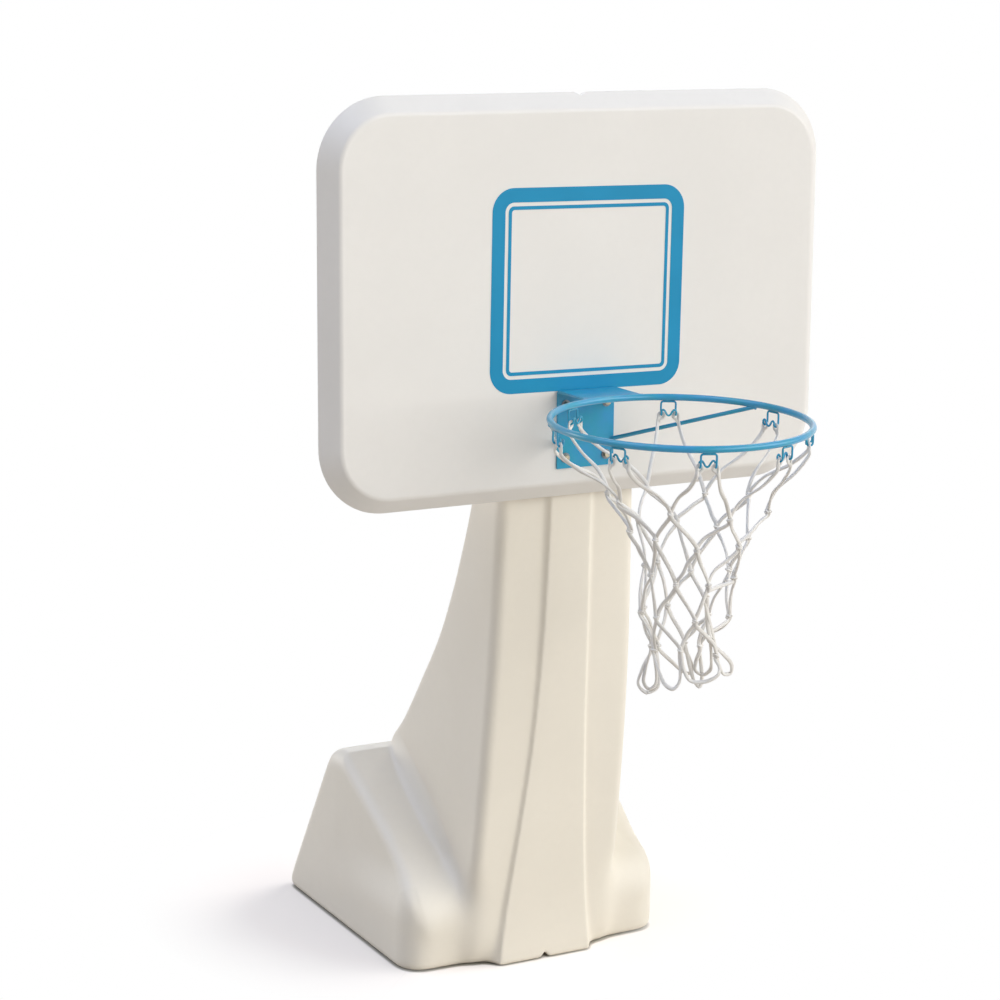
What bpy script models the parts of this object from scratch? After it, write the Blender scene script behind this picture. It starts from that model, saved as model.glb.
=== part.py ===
# Poolside basketball hoop: a water-filled moulded base with a leaning column,
# a hollow moulded backboard and a steel rim with a knotted cord net.
# Units are metres, +Z is up, the hoop faces -Y and the origin is on the deck
# plane, at the middle of the foot.

from math import atan2, cos, pi, radians, sin, sqrt

import bmesh
import bpy
from mathutils import Matrix, Vector

# Gap that touching pieces keep, and how far a cutter runs past what it cuts
SEAT_GAP = 0.0003
CUT_MARGIN = 0.010
WEDGE_MARGIN = 0.25

# Foot of the base: half width along X, and its side outline along Y and Z
FOOT_HALF_WIDTH = 0.285
FOOT_FRONT_Y = -0.306
FOOT_REAR_Y = 0.306
FOOT_REAR_TOP_Y = 0.067
FOOT_TOP_FRONT_Y = 0.018
FOOT_TOP_Z = 0.370
WING_KNEE_Y = -0.185
WING_KNEE_Z = 0.252
FOOT_LIP_Z = 0.133
FOOT_CORNER_RADIUS = 0.034
FOOT_REAR_TOP_RADIUS = 0.026
FOOT_RIDGE_RADIUS = 0.020
FOOT_LOW_RADIUS = 0.009

# Walls of the two mouldings
BASE_WALL = 0.0065
BOARD_WALL = 0.0045

# Column: distance behind the board's face at several heights (height, distance)
RIB_FRONT = ((0.0, 0.140), (0.06, 0.1375), (0.12, 0.131), (0.20, 0.1195), (0.30, 0.106),
             (0.50, 0.0806), (0.70, 0.0618), (0.90, 0.0505), (0.985, 0.0465))
RIB_PROUD = ((0.0, 0.032), (0.04, 0.028), (0.08, 0.021), (0.13, 0.016), (0.20, 0.014), (0.985, 0.013))
RIB_LEAST_PROUD = 0.0004
RIB_HALF_WIDTH = ((0.0, 0.106), (0.10, 0.095), (0.20, 0.084), (0.30, 0.0745), (0.50, 0.059),
                  (0.70, 0.0512), (0.88, 0.0475), (0.985, 0.0465))
RIB_FLARE = ((0.0, 0.028), (0.04, 0.018), (0.08, 0.008), (0.13, 0.004), (0.20, 0.002), (0.985, 0.002))
COLUMN_HALF_WIDTH = ((0.0, 0.171), (0.30, 0.166), (0.60, 0.1605), (0.985, 0.150))
COLUMN_REAR = ((0.386, 0.519), (0.45, 0.466), (0.549, 0.392), (0.65, 0.321), (0.746, 0.271),
               (0.817, 0.241), (0.957, 0.192), (1.08, 0.162), (1.20, 0.149))
COLUMN_ROOT_REAR = 0.505
COLUMN_CORNER_RADIUS = 0.0225
COLUMN_REAR_RADIUS = 0.025
RIB_CORNER_RADIUS = 0.006
COLUMN_TOP_Z = 1.335
COLUMN_TOP_EDGE = 0.012
COLUMN_LEVELS = (0.0, 0.04, 0.08, 0.13, 0.20, 0.30, 0.386, 0.45, 0.549, 0.65, 0.746, 0.85, 0.957)
SEAT_LEVELS = (1.12, 1.20)
SEAT_START_RISE = 0.045
UNDERSIDE_NOTCH_WIDTH = 0.024
UNDERSIDE_NOTCH_HEIGHT = 0.013
UNDERSIDE_NOTCH_LENGTH = 0.060

# Backboard: size of its back outline; the front face is smaller by the draft
BOARD_WIDTH = 1.078
BOARD_HEIGHT = 0.769
BOARD_THICKNESS = 0.040
BOARD_DRAFT = 0.031
BOARD_CORNER_RADIUS = 0.132
BOARD_FACE_EDGE_RADIUS = 0.013
BOARD_BACK_EDGE_RADIUS = 0.004
BOARD_FACE_Y = -0.478
BOARD_BOTTOM_Z = 0.9835
BOARD_NOTCH_WIDTH = 0.026
BOARD_NOTCH_DEPTH = 0.007
BOARD_NOTCH_LENGTH = 0.014
BOARD_SLEEVE_WALL = 0.006
BOARD_VENT_RADIUS = 0.004
BOARD_VENT_X = 0.300
BOARD_VENT_RISE = 0.080

# Printed target on the board's face
TARGET_WIDTH = 0.414
TARGET_HEIGHT = 0.385
TARGET_ABOVE_RIM = 0.008
TARGET_BAND = 0.027
TARGET_SPACE = 0.007
TARGET_LINE = 0.0066
TARGET_CORNER_RADIUS = 0.045
TARGET_LEAST_RADIUS = 0.006
TARGET_FILM = 0.0005
TARGET_SIDE_SHIFT = 0.0035
TARGET_TURN_DEG = 0.7

# Rim: a rod ring, its bracket, two braces and eight net hooks
RIM_HEIGHT = 1.186
RIM_INNER_DIAMETER = 0.4572
RIM_ROD_RADIUS = 0.00635
RIM_CENTRE_REACH = 0.347
RIM_DROOP_DEG = 1.6
BRACKET_WIDTH = 0.123
BRACKET_SHEET = 0.0045
BRACKET_BEND_RADIUS = 0.006
BRACKET_TOP_ABOVE_RIM = 0.010
BRACKET_HEIGHT = 0.151
BRACE_RADIUS = 0.004
BRACE_DROP = 0.091
BRACE_EDGE_MARGIN = 0.0045
BRACE_RIM_ANGLE_DEG = 112.0
HOOK_ANGLES_DEG = (20.0, 59.0, 102.0, 154.0, -154.0, -102.0, -59.0, -20.0)
HOOK_WIRE_RADIUS = 0.0019
HOOK_HALF_WIDTH = 0.013
HOOK_HEIGHT = 0.0245
HOOK_CURL_REACH = 0.011
HOOK_CORNER_RADIUS = 0.004
HOOK_ARM_TOP = 0.0110
HOOK_BEND = 0.0028

# Net of knotted cord: drop below the rim and radius of each row of knots
CORD_RADIUS = 0.0030
KNOT_RADIUS = 0.0056
NET_ROWS = ((0.152, 0.147), (0.222, 0.115), (0.284, 0.090), (0.352, 0.078), (0.415, 0.064))
NET_LOOP_DROP = 0.482
NET_LOOP_RADIUS = 0.072
NET_LOOP_PINCH = 0.0066
NET_SWAY = 0.006
NET_RAGGED = 0.010
NET_DRIFT = Vector((0.020, -0.010, 0.0))
STRAND_BOW = 0.006
STRAND_STEPS = 2
CORD_CROSSING = 0.0008
CORD_LEAVES_HOOK = 0.00225
CORD_BESIDE_HOOK = 0.0081
WIRE_RESOLUTION = 1

# Fasteners: bolts through bracket and board into brass inserts in the column
BOLT_SPACING_X = 0.089
BOLT_SPACING_Z = 0.102
BOLT_BELOW_RIM = 0.018
BOLT_RADIUS = 0.00475
BOLT_HOLE_CLEARANCE = 0.0004
BOLT_HEAD_FLATS = 0.0143
BOLT_HEAD_HEIGHT = 0.0060
BOLT_WASHER_RADIUS = 0.0095
BOLT_WASHER_THICKNESS = 0.0016
INSERT_RADIUS = 0.0085
INSERT_LENGTH = 0.024
INSERT_BOSS_WALL = 0.0065
BOLT_TIP_MARGIN = 0.003

# Screw-on fill cap over the neck on the column's top
NECK_RADIUS = 0.030
NECK_WALL = 0.005
NECK_HEIGHT = 0.020
NECK_BEHIND_SEAT = 0.056
CAP_WALL = 0.0035
CAP_CLEARANCE = 0.0006
CAP_SKIRT_LIFT = 0.0015
CAP_EDGE = 0.003
CAP_GRIP_DEPTH = 0.0016
CAP_GRIP_COUNT = 12
GASKET_THICKNESS = 0.0020

# Drain plug, square to the foot's sloping rear face
DRAIN_UP_SLOPE = 0.075
DRAIN_BORE_RADIUS = 0.0130
DRAIN_CLEARANCE = 0.0005
DRAIN_SHANK = 0.016
DRAIN_FLANGE_RADIUS = 0.022
DRAIN_FLANGE = 0.004
DRAIN_EDGE = 0.001
DRAIN_GRIP_LENGTH = 0.030
DRAIN_GRIP_WIDTH = 0.008
DRAIN_GRIP_HEIGHT = 0.012
DRAIN_GRIP_EDGE = 0.002
DRAIN_GASKET_WALL = 0.006

# Places worked out from the sizes above
BOARD_BACK_Y = BOARD_FACE_Y + BOARD_THICKNESS
SEAT_Y = BOARD_BACK_Y + SEAT_GAP
RIM_RADIUS = RIM_INNER_DIAMETER / 2 + RIM_ROD_RADIUS
RIM_CENTRE = Vector((0.0, BOARD_FACE_Y - RIM_CENTRE_REACH, RIM_HEIGHT))
RIM_FRAME = Matrix.Translation(RIM_CENTRE) @ Matrix.Rotation(radians(RIM_DROOP_DEG), 4, "X")
WEB_BACK_Y = BOARD_FACE_Y - SEAT_GAP
WEB_FRONT_Y = WEB_BACK_Y - BRACKET_SHEET
BRACKET_TOP_Z = RIM_HEIGHT + BRACKET_TOP_ABOVE_RIM
BOLT_HOLE_RADIUS = BOLT_RADIUS + BOLT_HOLE_CLEARANCE
BOLT_PLACES = [(x, RIM_HEIGHT - BOLT_BELOW_RIM - row * BOLT_SPACING_Z)
               for row in (0, 1) for x in (-BOLT_SPACING_X / 2, BOLT_SPACING_X / 2)]
NECK_Y = SEAT_Y + NECK_BEHIND_SEAT
REAR_FACE = Vector((0.0, FOOT_REAR_TOP_Y - FOOT_REAR_Y, FOOT_TOP_Z)).normalized()
REAR_NORMAL = Vector((0.0, REAR_FACE.z, -REAR_FACE.y))
DRAIN_PLACE = Vector((0.0, FOOT_REAR_Y, 0.0)) + REAR_FACE * DRAIN_UP_SLOPE

PARTS = "poolside_basketball_hoop"
CUTTERS = "cutters"


def clear_scene():
    for item in list(bpy.data.objects):
        bpy.data.objects.remove(item, do_unlink=True)


def make_collection(name):
    group = bpy.data.collections.new(name)
    bpy.context.scene.collection.children.link(group)
    return group


def make_material(name, colour, roughness, metallic=0.0):
    material = bpy.data.materials.new(name)
    material.use_nodes = True
    shader = material.node_tree.nodes["Principled BSDF"]
    shader.inputs["Base Color"].default_value = (*colour, 1.0)
    shader.inputs["Roughness"].default_value = roughness
    shader.inputs["Metallic"].default_value = metallic
    return material


def add_mesh(name, mesh, group, material=None):
    item = bpy.data.objects.new(name, mesh)
    bpy.data.collections[group].objects.link(item)
    if material is not None:
        mesh.materials.clear()
        mesh.materials.append(material)
    if group == CUTTERS:
        item.hide_render = True
        item.display_type = "WIRE"
    return item


def mesh_from(build, name):
    work = bmesh.new()
    build(work)
    bmesh.ops.recalc_face_normals(work, faces=work.faces)
    mesh = bpy.data.meshes.new(name)
    work.to_mesh(mesh)
    work.free()
    return mesh


def loft(name, rings, group, material=None):
    """Bridge closed rings that have the same number of points, and cap both ends."""
    def build(work):
        rows = [[work.verts.new(point) for point in ring] for ring in rings]
        count = len(rings[0])
        for low, high in zip(rows, rows[1:]):
            for i in range(count):
                j = (i + 1) % count
                work.faces.new((low[i], low[j], high[j], high[i]))
        work.faces.new(list(reversed(rows[0])))
        work.faces.new(rows[-1])
    return add_mesh(name, mesh_from(build, name), group, material)


def cylinder(name, radius, start, end, group, material=None, sides=24):
    """A cylinder between two points, made from a cone primitive."""
    start = Vector(start)
    end = Vector(end)
    turn = (end - start).to_track_quat("Z", "Y").to_matrix().to_4x4()
    place = Matrix.Translation((start + end) / 2) @ turn

    def build(work):
        bmesh.ops.create_cone(work, cap_ends=True, segments=sides, radius1=radius, radius2=radius,
                              depth=(end - start).length, matrix=place)
    return add_mesh(name, mesh_from(build, name), group, material)


def box(name, low, high, group, material=None):
    size = Vector(high) - Vector(low)
    middle = (Vector(high) + Vector(low)) / 2
    place = Matrix.Translation(middle) @ Matrix.Diagonal((*size, 1.0))

    def build(work):
        bmesh.ops.create_cube(work, size=1.0, matrix=place)
    return add_mesh(name, mesh_from(build, name), group, material)


def boolean(item, operation, other):
    step = item.modifiers.new(other.name, "BOOLEAN")
    step.operation = operation
    step.solver = "EXACT"
    step.object = other


def cut(item, *others):
    for other in others:
        boolean(item, "DIFFERENCE", other)


def join(item, *others):
    for other in others:
        boolean(item, "UNION", other)


def bevel_angles(item, width, segments, angle_deg):
    step = item.modifiers.new("rounded_edges", "BEVEL")
    step.width = width
    step.segments = segments
    step.limit_method = "ANGLE"
    step.angle_limit = radians(angle_deg)


def curve_object(name, kind, paths, closed):
    data = bpy.data.curves.new(name, "CURVE")
    data.dimensions = kind
    for path in paths:
        spline = data.splines.new("POLY")
        spline.points.add(len(path) - 1)
        for point, place in zip(spline.points, path):
            point.co = (*place, 1.0)
        spline.use_cyclic_u = closed
    item = bpy.data.objects.new(name, data)
    bpy.data.collections[PARTS].objects.link(item)
    return item


def as_mesh(item, group, material=None):
    """Replace a curve object by the mesh that it makes, with its caps welded."""
    bpy.context.view_layer.update()
    shape = item.evaluated_get(bpy.context.evaluated_depsgraph_get())
    mesh = bpy.data.meshes.new_from_object(shape)
    place = item.matrix_world.copy()
    name = item.name
    bpy.data.objects.remove(item, do_unlink=True)
    work = bmesh.new()
    work.from_mesh(mesh)
    bmesh.ops.remove_doubles(work, verts=work.verts, dist=0.00001)
    bmesh.ops.recalc_face_normals(work, faces=work.faces)
    work.to_mesh(mesh)
    work.free()
    solid = add_mesh(name, mesh, group, material)
    solid.matrix_world = place
    return solid


def wire(name, path, radius, group, material=None, closed=False):
    item = curve_object(name, "3D", [path], closed)
    item.data.bevel_depth = radius
    item.data.bevel_resolution = WIRE_RESOLUTION
    item.data.use_fill_caps = not closed
    return as_mesh(item, group, material)


def plate(name, outlines, thickness, place, group, material=None):
    """A flat sheet from a filled 2D curve; a second outline is a hole."""
    item = curve_object(name, "2D", [[(x, y, 0.0) for x, y in path] for path in outlines], True)
    item.data.fill_mode = "BOTH"
    item.data.extrude = thickness / 2
    item.matrix_world = place
    return as_mesh(item, group, material)


def smooth(item, angle_deg=30.0):
    item.data.shade_smooth()
    item.data.set_sharp_from_angle(angle=radians(angle_deg))


def along(points, at):
    """Smooth curve through (position, value) pairs, held level past both ends."""
    if at <= points[0][0]:
        return points[0][1]
    if at >= points[-1][0]:
        return points[-1][1]
    i = max(k for k in range(len(points) - 1) if points[k][0] <= at)
    (x0, y0), (x1, y1) = points[i], points[i + 1]
    span = x1 - x0
    rise = (y1 - y0) / span
    before = (y0 - points[i - 1][1]) / (x0 - points[i - 1][0]) if i > 0 else rise
    after = (points[i + 2][1] - y1) / (points[i + 2][0] - x1) if i + 2 < len(points) else rise
    t = (at - x0) / span
    start = (before + rise) / 2
    finish = (after + rise) / 2
    return ((1 + 2 * t) * (1 - t) ** 2 * y0 + t * (1 - t) ** 2 * span * start
            + t * t * (3 - 2 * t) * y1 + t * t * (t - 1) * span * finish)


def arc(centre_x, centre_y, radius, start_deg, end_deg, steps):
    """Points of an arc, both ends included."""
    angles = [radians(start_deg + (end_deg - start_deg) * k / steps) for k in range(steps + 1)]
    return [(centre_x + radius * cos(a), centre_y + radius * sin(a)) for a in angles]


def rounded_rectangle(width, height, radius, steps=6):
    x = width / 2 - radius
    y = height / 2 - radius
    return (arc(x, y, radius, 0, 90, steps) + arc(-x, y, radius, 90, 180, steps)
            + arc(-x, -y, radius, 180, 270, steps) + arc(x, -y, radius, 270, 360, steps))


def inset_convex(outline, amount):
    """Move each edge of a convex anticlockwise outline inwards by the same amount."""
    lines = []
    for (x0, y0), (x1, y1) in zip(outline, outline[1:] + outline[:1]):
        length = sqrt((x1 - x0) ** 2 + (y1 - y0) ** 2)
        normal = ((y0 - y1) / length, (x1 - x0) / length)
        lines.append((normal, normal[0] * x0 + normal[1] * y0 + amount))
    inner = []
    for ((ax, ay), a), ((bx, by), b) in zip(lines[-1:] + lines[:-1], lines):
        size = ax * by - ay * bx
        inner.append(((a * by - b * ay) / size, (ax * b - bx * a) / size))
    return inner


def foot_outline():
    """Side view of the foot, anticlockwise in Y and Z. With each corner go the radius of the edge
    across the foot there, and the radius of the side's edge that starts there."""
    low = FOOT_LOW_RADIUS
    ridge = FOOT_RIDGE_RADIUS
    corner = FOOT_CORNER_RADIUS
    return [(FOOT_FRONT_Y, 0.0, low, low), (FOOT_REAR_Y, 0.0, low, ridge),
            (FOOT_REAR_TOP_Y, FOOT_TOP_Z, FOOT_REAR_TOP_RADIUS, ridge),
            (FOOT_TOP_FRONT_Y, FOOT_TOP_Z, 0.0, ridge), (WING_KNEE_Y, WING_KNEE_Z, 0.0, ridge),
            (FOOT_FRONT_Y, FOOT_LIP_Z, corner, corner)]


def foot_solid(name, inset, group):
    """The foot's form, smaller all round by the inset, with each edge rounded by its own radius."""
    corners = foot_outline()
    outline = inset_convex([(y, z) for y, z, across, side in corners], inset)
    count = len(outline)
    half = FOOT_HALF_WIDTH - inset
    item = loft(name, [[(x, y, z) for y, z in outline] for x in (-half, half)], group)
    weights = item.data.attributes.new("bevel_weight_edge", "FLOAT", "EDGE")
    for edge, weight in zip(item.data.edges, weights.data):
        first, second = sorted(i % count for i in edge.vertices)
        if first == second:
            radius = corners[first][2]
        else:
            radius = corners[second if (first, second) == (0, count - 1) else first][3]
        weight.value = max(radius - inset, 0.0) / FOOT_CORNER_RADIUS
    step = item.modifiers.new("rounded_edges", "BEVEL")
    step.width = FOOT_CORNER_RADIUS
    step.segments = 3
    step.limit_method = "WEIGHT"
    return item


def column_ring(z, at, inset, end_inset):
    """One level of the column at height z, with the section that it has at height at."""
    seat = max(0.0, min(1.0, (at - BOARD_BOTTOM_Z) / SEAT_START_RISE))
    rib = along(RIB_FRONT, at) * (1 - seat) + BOARD_THICKNESS * seat
    proud = along(RIB_PROUD, at) * (1 - seat)
    inwards = inset + end_inset
    rib_y = BOARD_FACE_Y + rib + SEAT_GAP + inwards
    face_y = rib_y + max(proud, RIB_LEAST_PROUD)
    rib_half = along(RIB_HALF_WIDTH, at) - inwards
    flare = along(RIB_FLARE, at)
    half = along(COLUMN_HALF_WIDTH, at) - inwards
    rear = along(COLUMN_REAR, at) if at >= COLUMN_REAR[0][0] else COLUMN_ROOT_REAR
    rear_y = BOARD_FACE_Y + rear - inwards
    corner = COLUMN_CORNER_RADIUS - inset
    rear_corner = COLUMN_REAR_RADIUS - inset
    soft = min(RIB_CORNER_RADIUS, (face_y - rib_y) / 2)
    steps = 2 if inset else 4
    side = arc(rib_half - soft, rib_y + soft, soft, -90, 0, 2)
    side.append((rib_half + flare, face_y))
    side += arc(half - corner, face_y + corner, corner, -90, 0, steps)
    side += arc(half - rear_corner, rear_y - rear_corner, rear_corner, 0, 90, steps)
    other = [(-x, y) for x, y in reversed(side)]
    return [(x, y, z) for x, y in side + other]


def column_solid(name, inset, group, material=None):
    """The column's form, smaller all round by the inset. The hollow follows every second level."""
    step = 2 if inset else 1
    heights = [z for z in COLUMN_LEVELS[::step] if z < BOARD_BOTTOM_Z - SEAT_START_RISE / 2]
    heights[0] = inset
    heights += [BOARD_BOTTOM_Z, BOARD_BOTTOM_Z + SEAT_START_RISE]
    top = COLUMN_TOP_Z - inset
    edge = COLUMN_TOP_EDGE - inset / 2
    heights += [z for z in SEAT_LEVELS if heights[-1] < z < top - edge]
    levels = [(z, z, 0.0) for z in heights]
    for turn in (0, 30, 60, 90):
        back = edge * (1 - cos(radians(turn)))
        levels.append((top - edge + edge * sin(radians(turn)), top - edge, back))
    rings = [column_ring(z, at, inset, back) for z, at, back in levels]
    return loft(name, rings, group, material)


def wedge(name, width, height, base_z, up, start_y, end_y, group):
    """A V-shaped prism along Y, as wide as width at base_z, whose tip points along up."""
    half = width / 2 * (1 + WEDGE_MARGIN)
    open_z = base_z - up * height * WEDGE_MARGIN
    corners = [(-half, open_z), (half, open_z), (0.0, base_z + up * height)]
    rings = [[(x, y, z) for x, z in corners] for y in (start_y, end_y)]
    return loft(name, rings, group)


def make_base(material):
    base = column_solid("base_shell", 0.0, PARTS, material)
    foot = foot_solid("foot_form", 0.0, CUTTERS)
    neck = cylinder("neck_form", NECK_RADIUS, (0, NECK_Y, COLUMN_TOP_Z - BASE_WALL / 2),
                    (0, NECK_Y, COLUMN_TOP_Z + NECK_HEIGHT), CUTTERS, sides=36)
    hollow = column_solid("column_hollow", BASE_WALL, CUTTERS)
    foot_hollow = foot_solid("foot_hollow", BASE_WALL, CUTTERS)
    join(hollow, foot_hollow)
    boss_end = SEAT_Y + INSERT_LENGTH + INSERT_BOSS_WALL
    for i, (x, z) in enumerate(BOLT_PLACES, 1):
        boss = cylinder(f"insert_boss_{i}", INSERT_RADIUS + INSERT_BOSS_WALL, (x, SEAT_Y - CUT_MARGIN, z),
                        (x, boss_end, z), CUTTERS, sides=20)
        cut(hollow, boss)
    rib_foot_y = BOARD_FACE_Y + RIB_FRONT[0][1]
    notch_end = rib_foot_y + UNDERSIDE_NOTCH_LENGTH
    notch_start = rib_foot_y - CUT_MARGIN
    notch_keep = wedge("notch_wall", UNDERSIDE_NOTCH_WIDTH + 4 * BASE_WALL,
                       UNDERSIDE_NOTCH_HEIGHT + 2 * BASE_WALL, 0.0, 1.0, notch_start,
                       notch_end + BASE_WALL, CUTTERS)
    cut(hollow, notch_keep)
    notch = wedge("underside_notch", UNDERSIDE_NOTCH_WIDTH, UNDERSIDE_NOTCH_HEIGHT, 0.0, 1.0,
                  notch_start, notch_end, CUTTERS)
    filler = cylinder("fill_bore", NECK_RADIUS - NECK_WALL,
                      (0, NECK_Y, COLUMN_TOP_Z - BASE_WALL - CUT_MARGIN),
                      (0, NECK_Y, COLUMN_TOP_Z + NECK_HEIGHT + CUT_MARGIN), CUTTERS, sides=36)
    drain = cylinder("drain_bore", DRAIN_BORE_RADIUS,
                     DRAIN_PLACE - REAR_NORMAL * (BASE_WALL + CUT_MARGIN),
                     DRAIN_PLACE + REAR_NORMAL * CUT_MARGIN, CUTTERS, sides=28)
    join(base, foot, neck)
    cut(base, hollow, notch, filler, drain)
    for i, (x, z) in enumerate(BOLT_PLACES, 1):
        pocket = cylinder(f"insert_pocket_{i}", INSERT_RADIUS + SEAT_GAP, (x, SEAT_Y - CUT_MARGIN, z),
                          (x, SEAT_Y + INSERT_LENGTH + SEAT_GAP, z), CUTTERS, sides=20)
        cut(base, pocket)
    smooth(base)


def board_ring(y, inset):
    """Rounded outline of the board at depth y, moved inwards from the back outline."""
    middle = BOARD_BOTTOM_Z + BOARD_HEIGHT / 2
    path = rounded_rectangle(BOARD_WIDTH - 2 * inset, BOARD_HEIGHT - 2 * inset,
                             BOARD_CORNER_RADIUS - inset)
    return [(x, y, middle + z) for x, z in path]


def make_board(material):
    front = BOARD_FACE_Y
    back = BOARD_BACK_Y
    back_edge = BOARD_BACK_EDGE_RADIUS
    slope = atan2(BOARD_DRAFT, BOARD_THICKNESS - back_edge)
    face_turn = pi / 2 - slope
    soft = BOARD_FACE_EDGE_RADIUS
    reach = soft * sin(face_turn) / (1 + cos(face_turn))
    rings = []
    for k in range(5):
        a = face_turn * k / 4
        rings.append(board_ring(front + soft * (1 - cos(a)), BOARD_DRAFT + reach - soft * sin(a)))
    for turn in (0, 45, 90):
        a = radians(turn)
        rings.append(board_ring(back - back_edge * (1 - sin(a)), back_edge * (1 - cos(a))))
    board = loft("backboard", rings, PARTS, material)
    wall = BOARD_WALL
    inner = [board_ring(front + wall, BOARD_DRAFT + wall), board_ring(back - wall, wall)]
    hollow = loft("board_hollow", inner, CUTTERS)
    top = BOARD_BOTTOM_Z + BOARD_HEIGHT
    notch_end = back + CUT_MARGIN
    notch = wedge("board_notch", BOARD_NOTCH_WIDTH, BOARD_NOTCH_DEPTH, top, -1.0,
                  back - BOARD_NOTCH_LENGTH, notch_end, CUTTERS)
    keep = wedge("board_notch_wall", BOARD_NOTCH_WIDTH + 4 * wall, BOARD_NOTCH_DEPTH + 2 * wall,
                 top, -1.0, back - BOARD_NOTCH_LENGTH - wall, notch_end, CUTTERS)
    cut(hollow, keep)
    for i, (x, z) in enumerate(BOLT_PLACES, 1):
        sleeve = cylinder(f"bolt_sleeve_{i}", BOLT_HOLE_RADIUS + BOARD_SLEEVE_WALL,
                          (x, front - CUT_MARGIN, z), (x, back + CUT_MARGIN, z), CUTTERS, sides=20)
        cut(hollow, sleeve)
    vent_z = BOARD_BOTTOM_Z + BOARD_VENT_RISE
    vent = cylinder("board_vent", BOARD_VENT_RADIUS, (BOARD_VENT_X, back - wall - CUT_MARGIN, vent_z),
                    (BOARD_VENT_X, back + CUT_MARGIN, vent_z), CUTTERS, sides=16)
    cut(board, hollow, notch, vent)
    for i, (x, z) in enumerate(BOLT_PLACES, 1):
        bore = cylinder(f"board_bore_{i}", BOLT_HOLE_RADIUS, (x, front - CUT_MARGIN, z),
                        (x, back + CUT_MARGIN, z), CUTTERS, sides=20)
        cut(board, bore)
    smooth(board)


def make_target(material):
    """A broad outer band and a thin inner line, printed as films on the board's face."""
    middle = RIM_HEIGHT + TARGET_ABOVE_RIM + TARGET_HEIGHT / 2
    place = (Matrix.Translation((TARGET_SIDE_SHIFT, BOARD_FACE_Y - SEAT_GAP - TARGET_FILM / 2, middle))
             @ Matrix.Rotation(radians(TARGET_TURN_DEG), 4, "Y") @ Matrix.Rotation(pi / 2, 4, "X"))
    steps = ((0.0, TARGET_BAND), (TARGET_BAND + TARGET_SPACE, TARGET_LINE))
    for name, (start, width) in zip(("target_band", "target_line"), steps):
        outlines = []
        for inwards in (start, start + width):
            radius = max(TARGET_CORNER_RADIUS - inwards, TARGET_LEAST_RADIUS)
            outlines.append(rounded_rectangle(TARGET_WIDTH - 2 * inwards, TARGET_HEIGHT - 2 * inwards,
                                              radius, 5))
        plate(name, outlines, TARGET_FILM, place, PARTS, material)


def torus(name, major, minor, place, group, material=None, major_steps=64, minor_steps=8):
    bpy.ops.mesh.primitive_torus_add(major_radius=major, minor_radius=minor, major_segments=major_steps,
                                     minor_segments=minor_steps)
    made = bpy.context.object
    mesh = made.data
    bpy.data.objects.remove(made, do_unlink=True)
    item = add_mesh(name, mesh, group, material)
    item.matrix_world = place
    return item


def make_rim(material):
    ring = torus("rim_ring", RIM_RADIUS, RIM_ROD_RADIUS, RIM_FRAME, PARTS, material)
    smooth(ring)
    make_bracket(material)
    cope = torus("brace_cope", RIM_RADIUS, RIM_ROD_RADIUS + SEAT_GAP, RIM_FRAME, CUTTERS)
    wall = box("brace_wall_cut", (-BRACKET_WIDTH, WEB_FRONT_Y - SEAT_GAP, RIM_HEIGHT - BRACKET_HEIGHT),
               (BRACKET_WIDTH, BOARD_BACK_Y, RIM_HEIGHT), CUTTERS)
    for name, side in (("brace_left", -1), ("brace_right", 1)):
        angle = radians(BRACE_RIM_ANGLE_DEG)
        end = RIM_FRAME @ Vector((side * RIM_RADIUS * sin(angle), -RIM_RADIUS * cos(angle),
                                  -BRACE_RADIUS))
        start = Vector((side * (BRACKET_WIDTH / 2 - BRACE_EDGE_MARGIN), WEB_BACK_Y,
                        RIM_HEIGHT - BRACE_DROP))
        brace = cylinder(name, BRACE_RADIUS, start, end, PARTS, material, sides=14)
        cut(brace, cope, wall)
        smooth(brace)


def make_bracket(material):
    """A steel sheet bent to an L: the web lies on the board, the top plate meets the ring."""
    top = BRACKET_TOP_Z
    bottom = top - BRACKET_HEIGHT
    sheet = BRACKET_SHEET
    outer = BRACKET_BEND_RADIUS
    reach = RIM_CENTRE.y + sqrt(RIM_RADIUS ** 2 - BRACKET_WIDTH ** 2 / 4)
    path = [(reach, top)]
    path += reversed(arc(WEB_BACK_Y - outer, top - outer, outer, 0, 90, 4))
    path += [(WEB_BACK_Y, bottom), (WEB_FRONT_Y, bottom)]
    path += arc(WEB_BACK_Y - outer, top - outer, outer - sheet, 0, 90, 3)
    path.append((reach, top - sheet))
    turn = Matrix(((0, 0, 1, 0), (1, 0, 0, 0), (0, 1, 0, 0), (0, 0, 0, 1)))
    bracket = plate("rim_bracket", [path], BRACKET_WIDTH, turn, PARTS, material)
    rise = Vector((0.0, 0.0, BRACKET_TOP_ABOVE_RIM + CUT_MARGIN))
    ring_cut = cylinder("bracket_ring_cut", RIM_RADIUS + RIM_ROD_RADIUS + SEAT_GAP,
                        RIM_CENTRE - rise, RIM_CENTRE + rise, CUTTERS, sides=96)
    cut(bracket, ring_cut)
    for i, (x, z) in enumerate(BOLT_PLACES, 1):
        bore = cylinder(f"bracket_bore_{i}", BOLT_HOLE_RADIUS, (x, WEB_FRONT_Y - CUT_MARGIN, z),
                        (x, WEB_BACK_Y + CUT_MARGIN, z), CUTTERS, sides=20)
        cut(bracket, bore)


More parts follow.
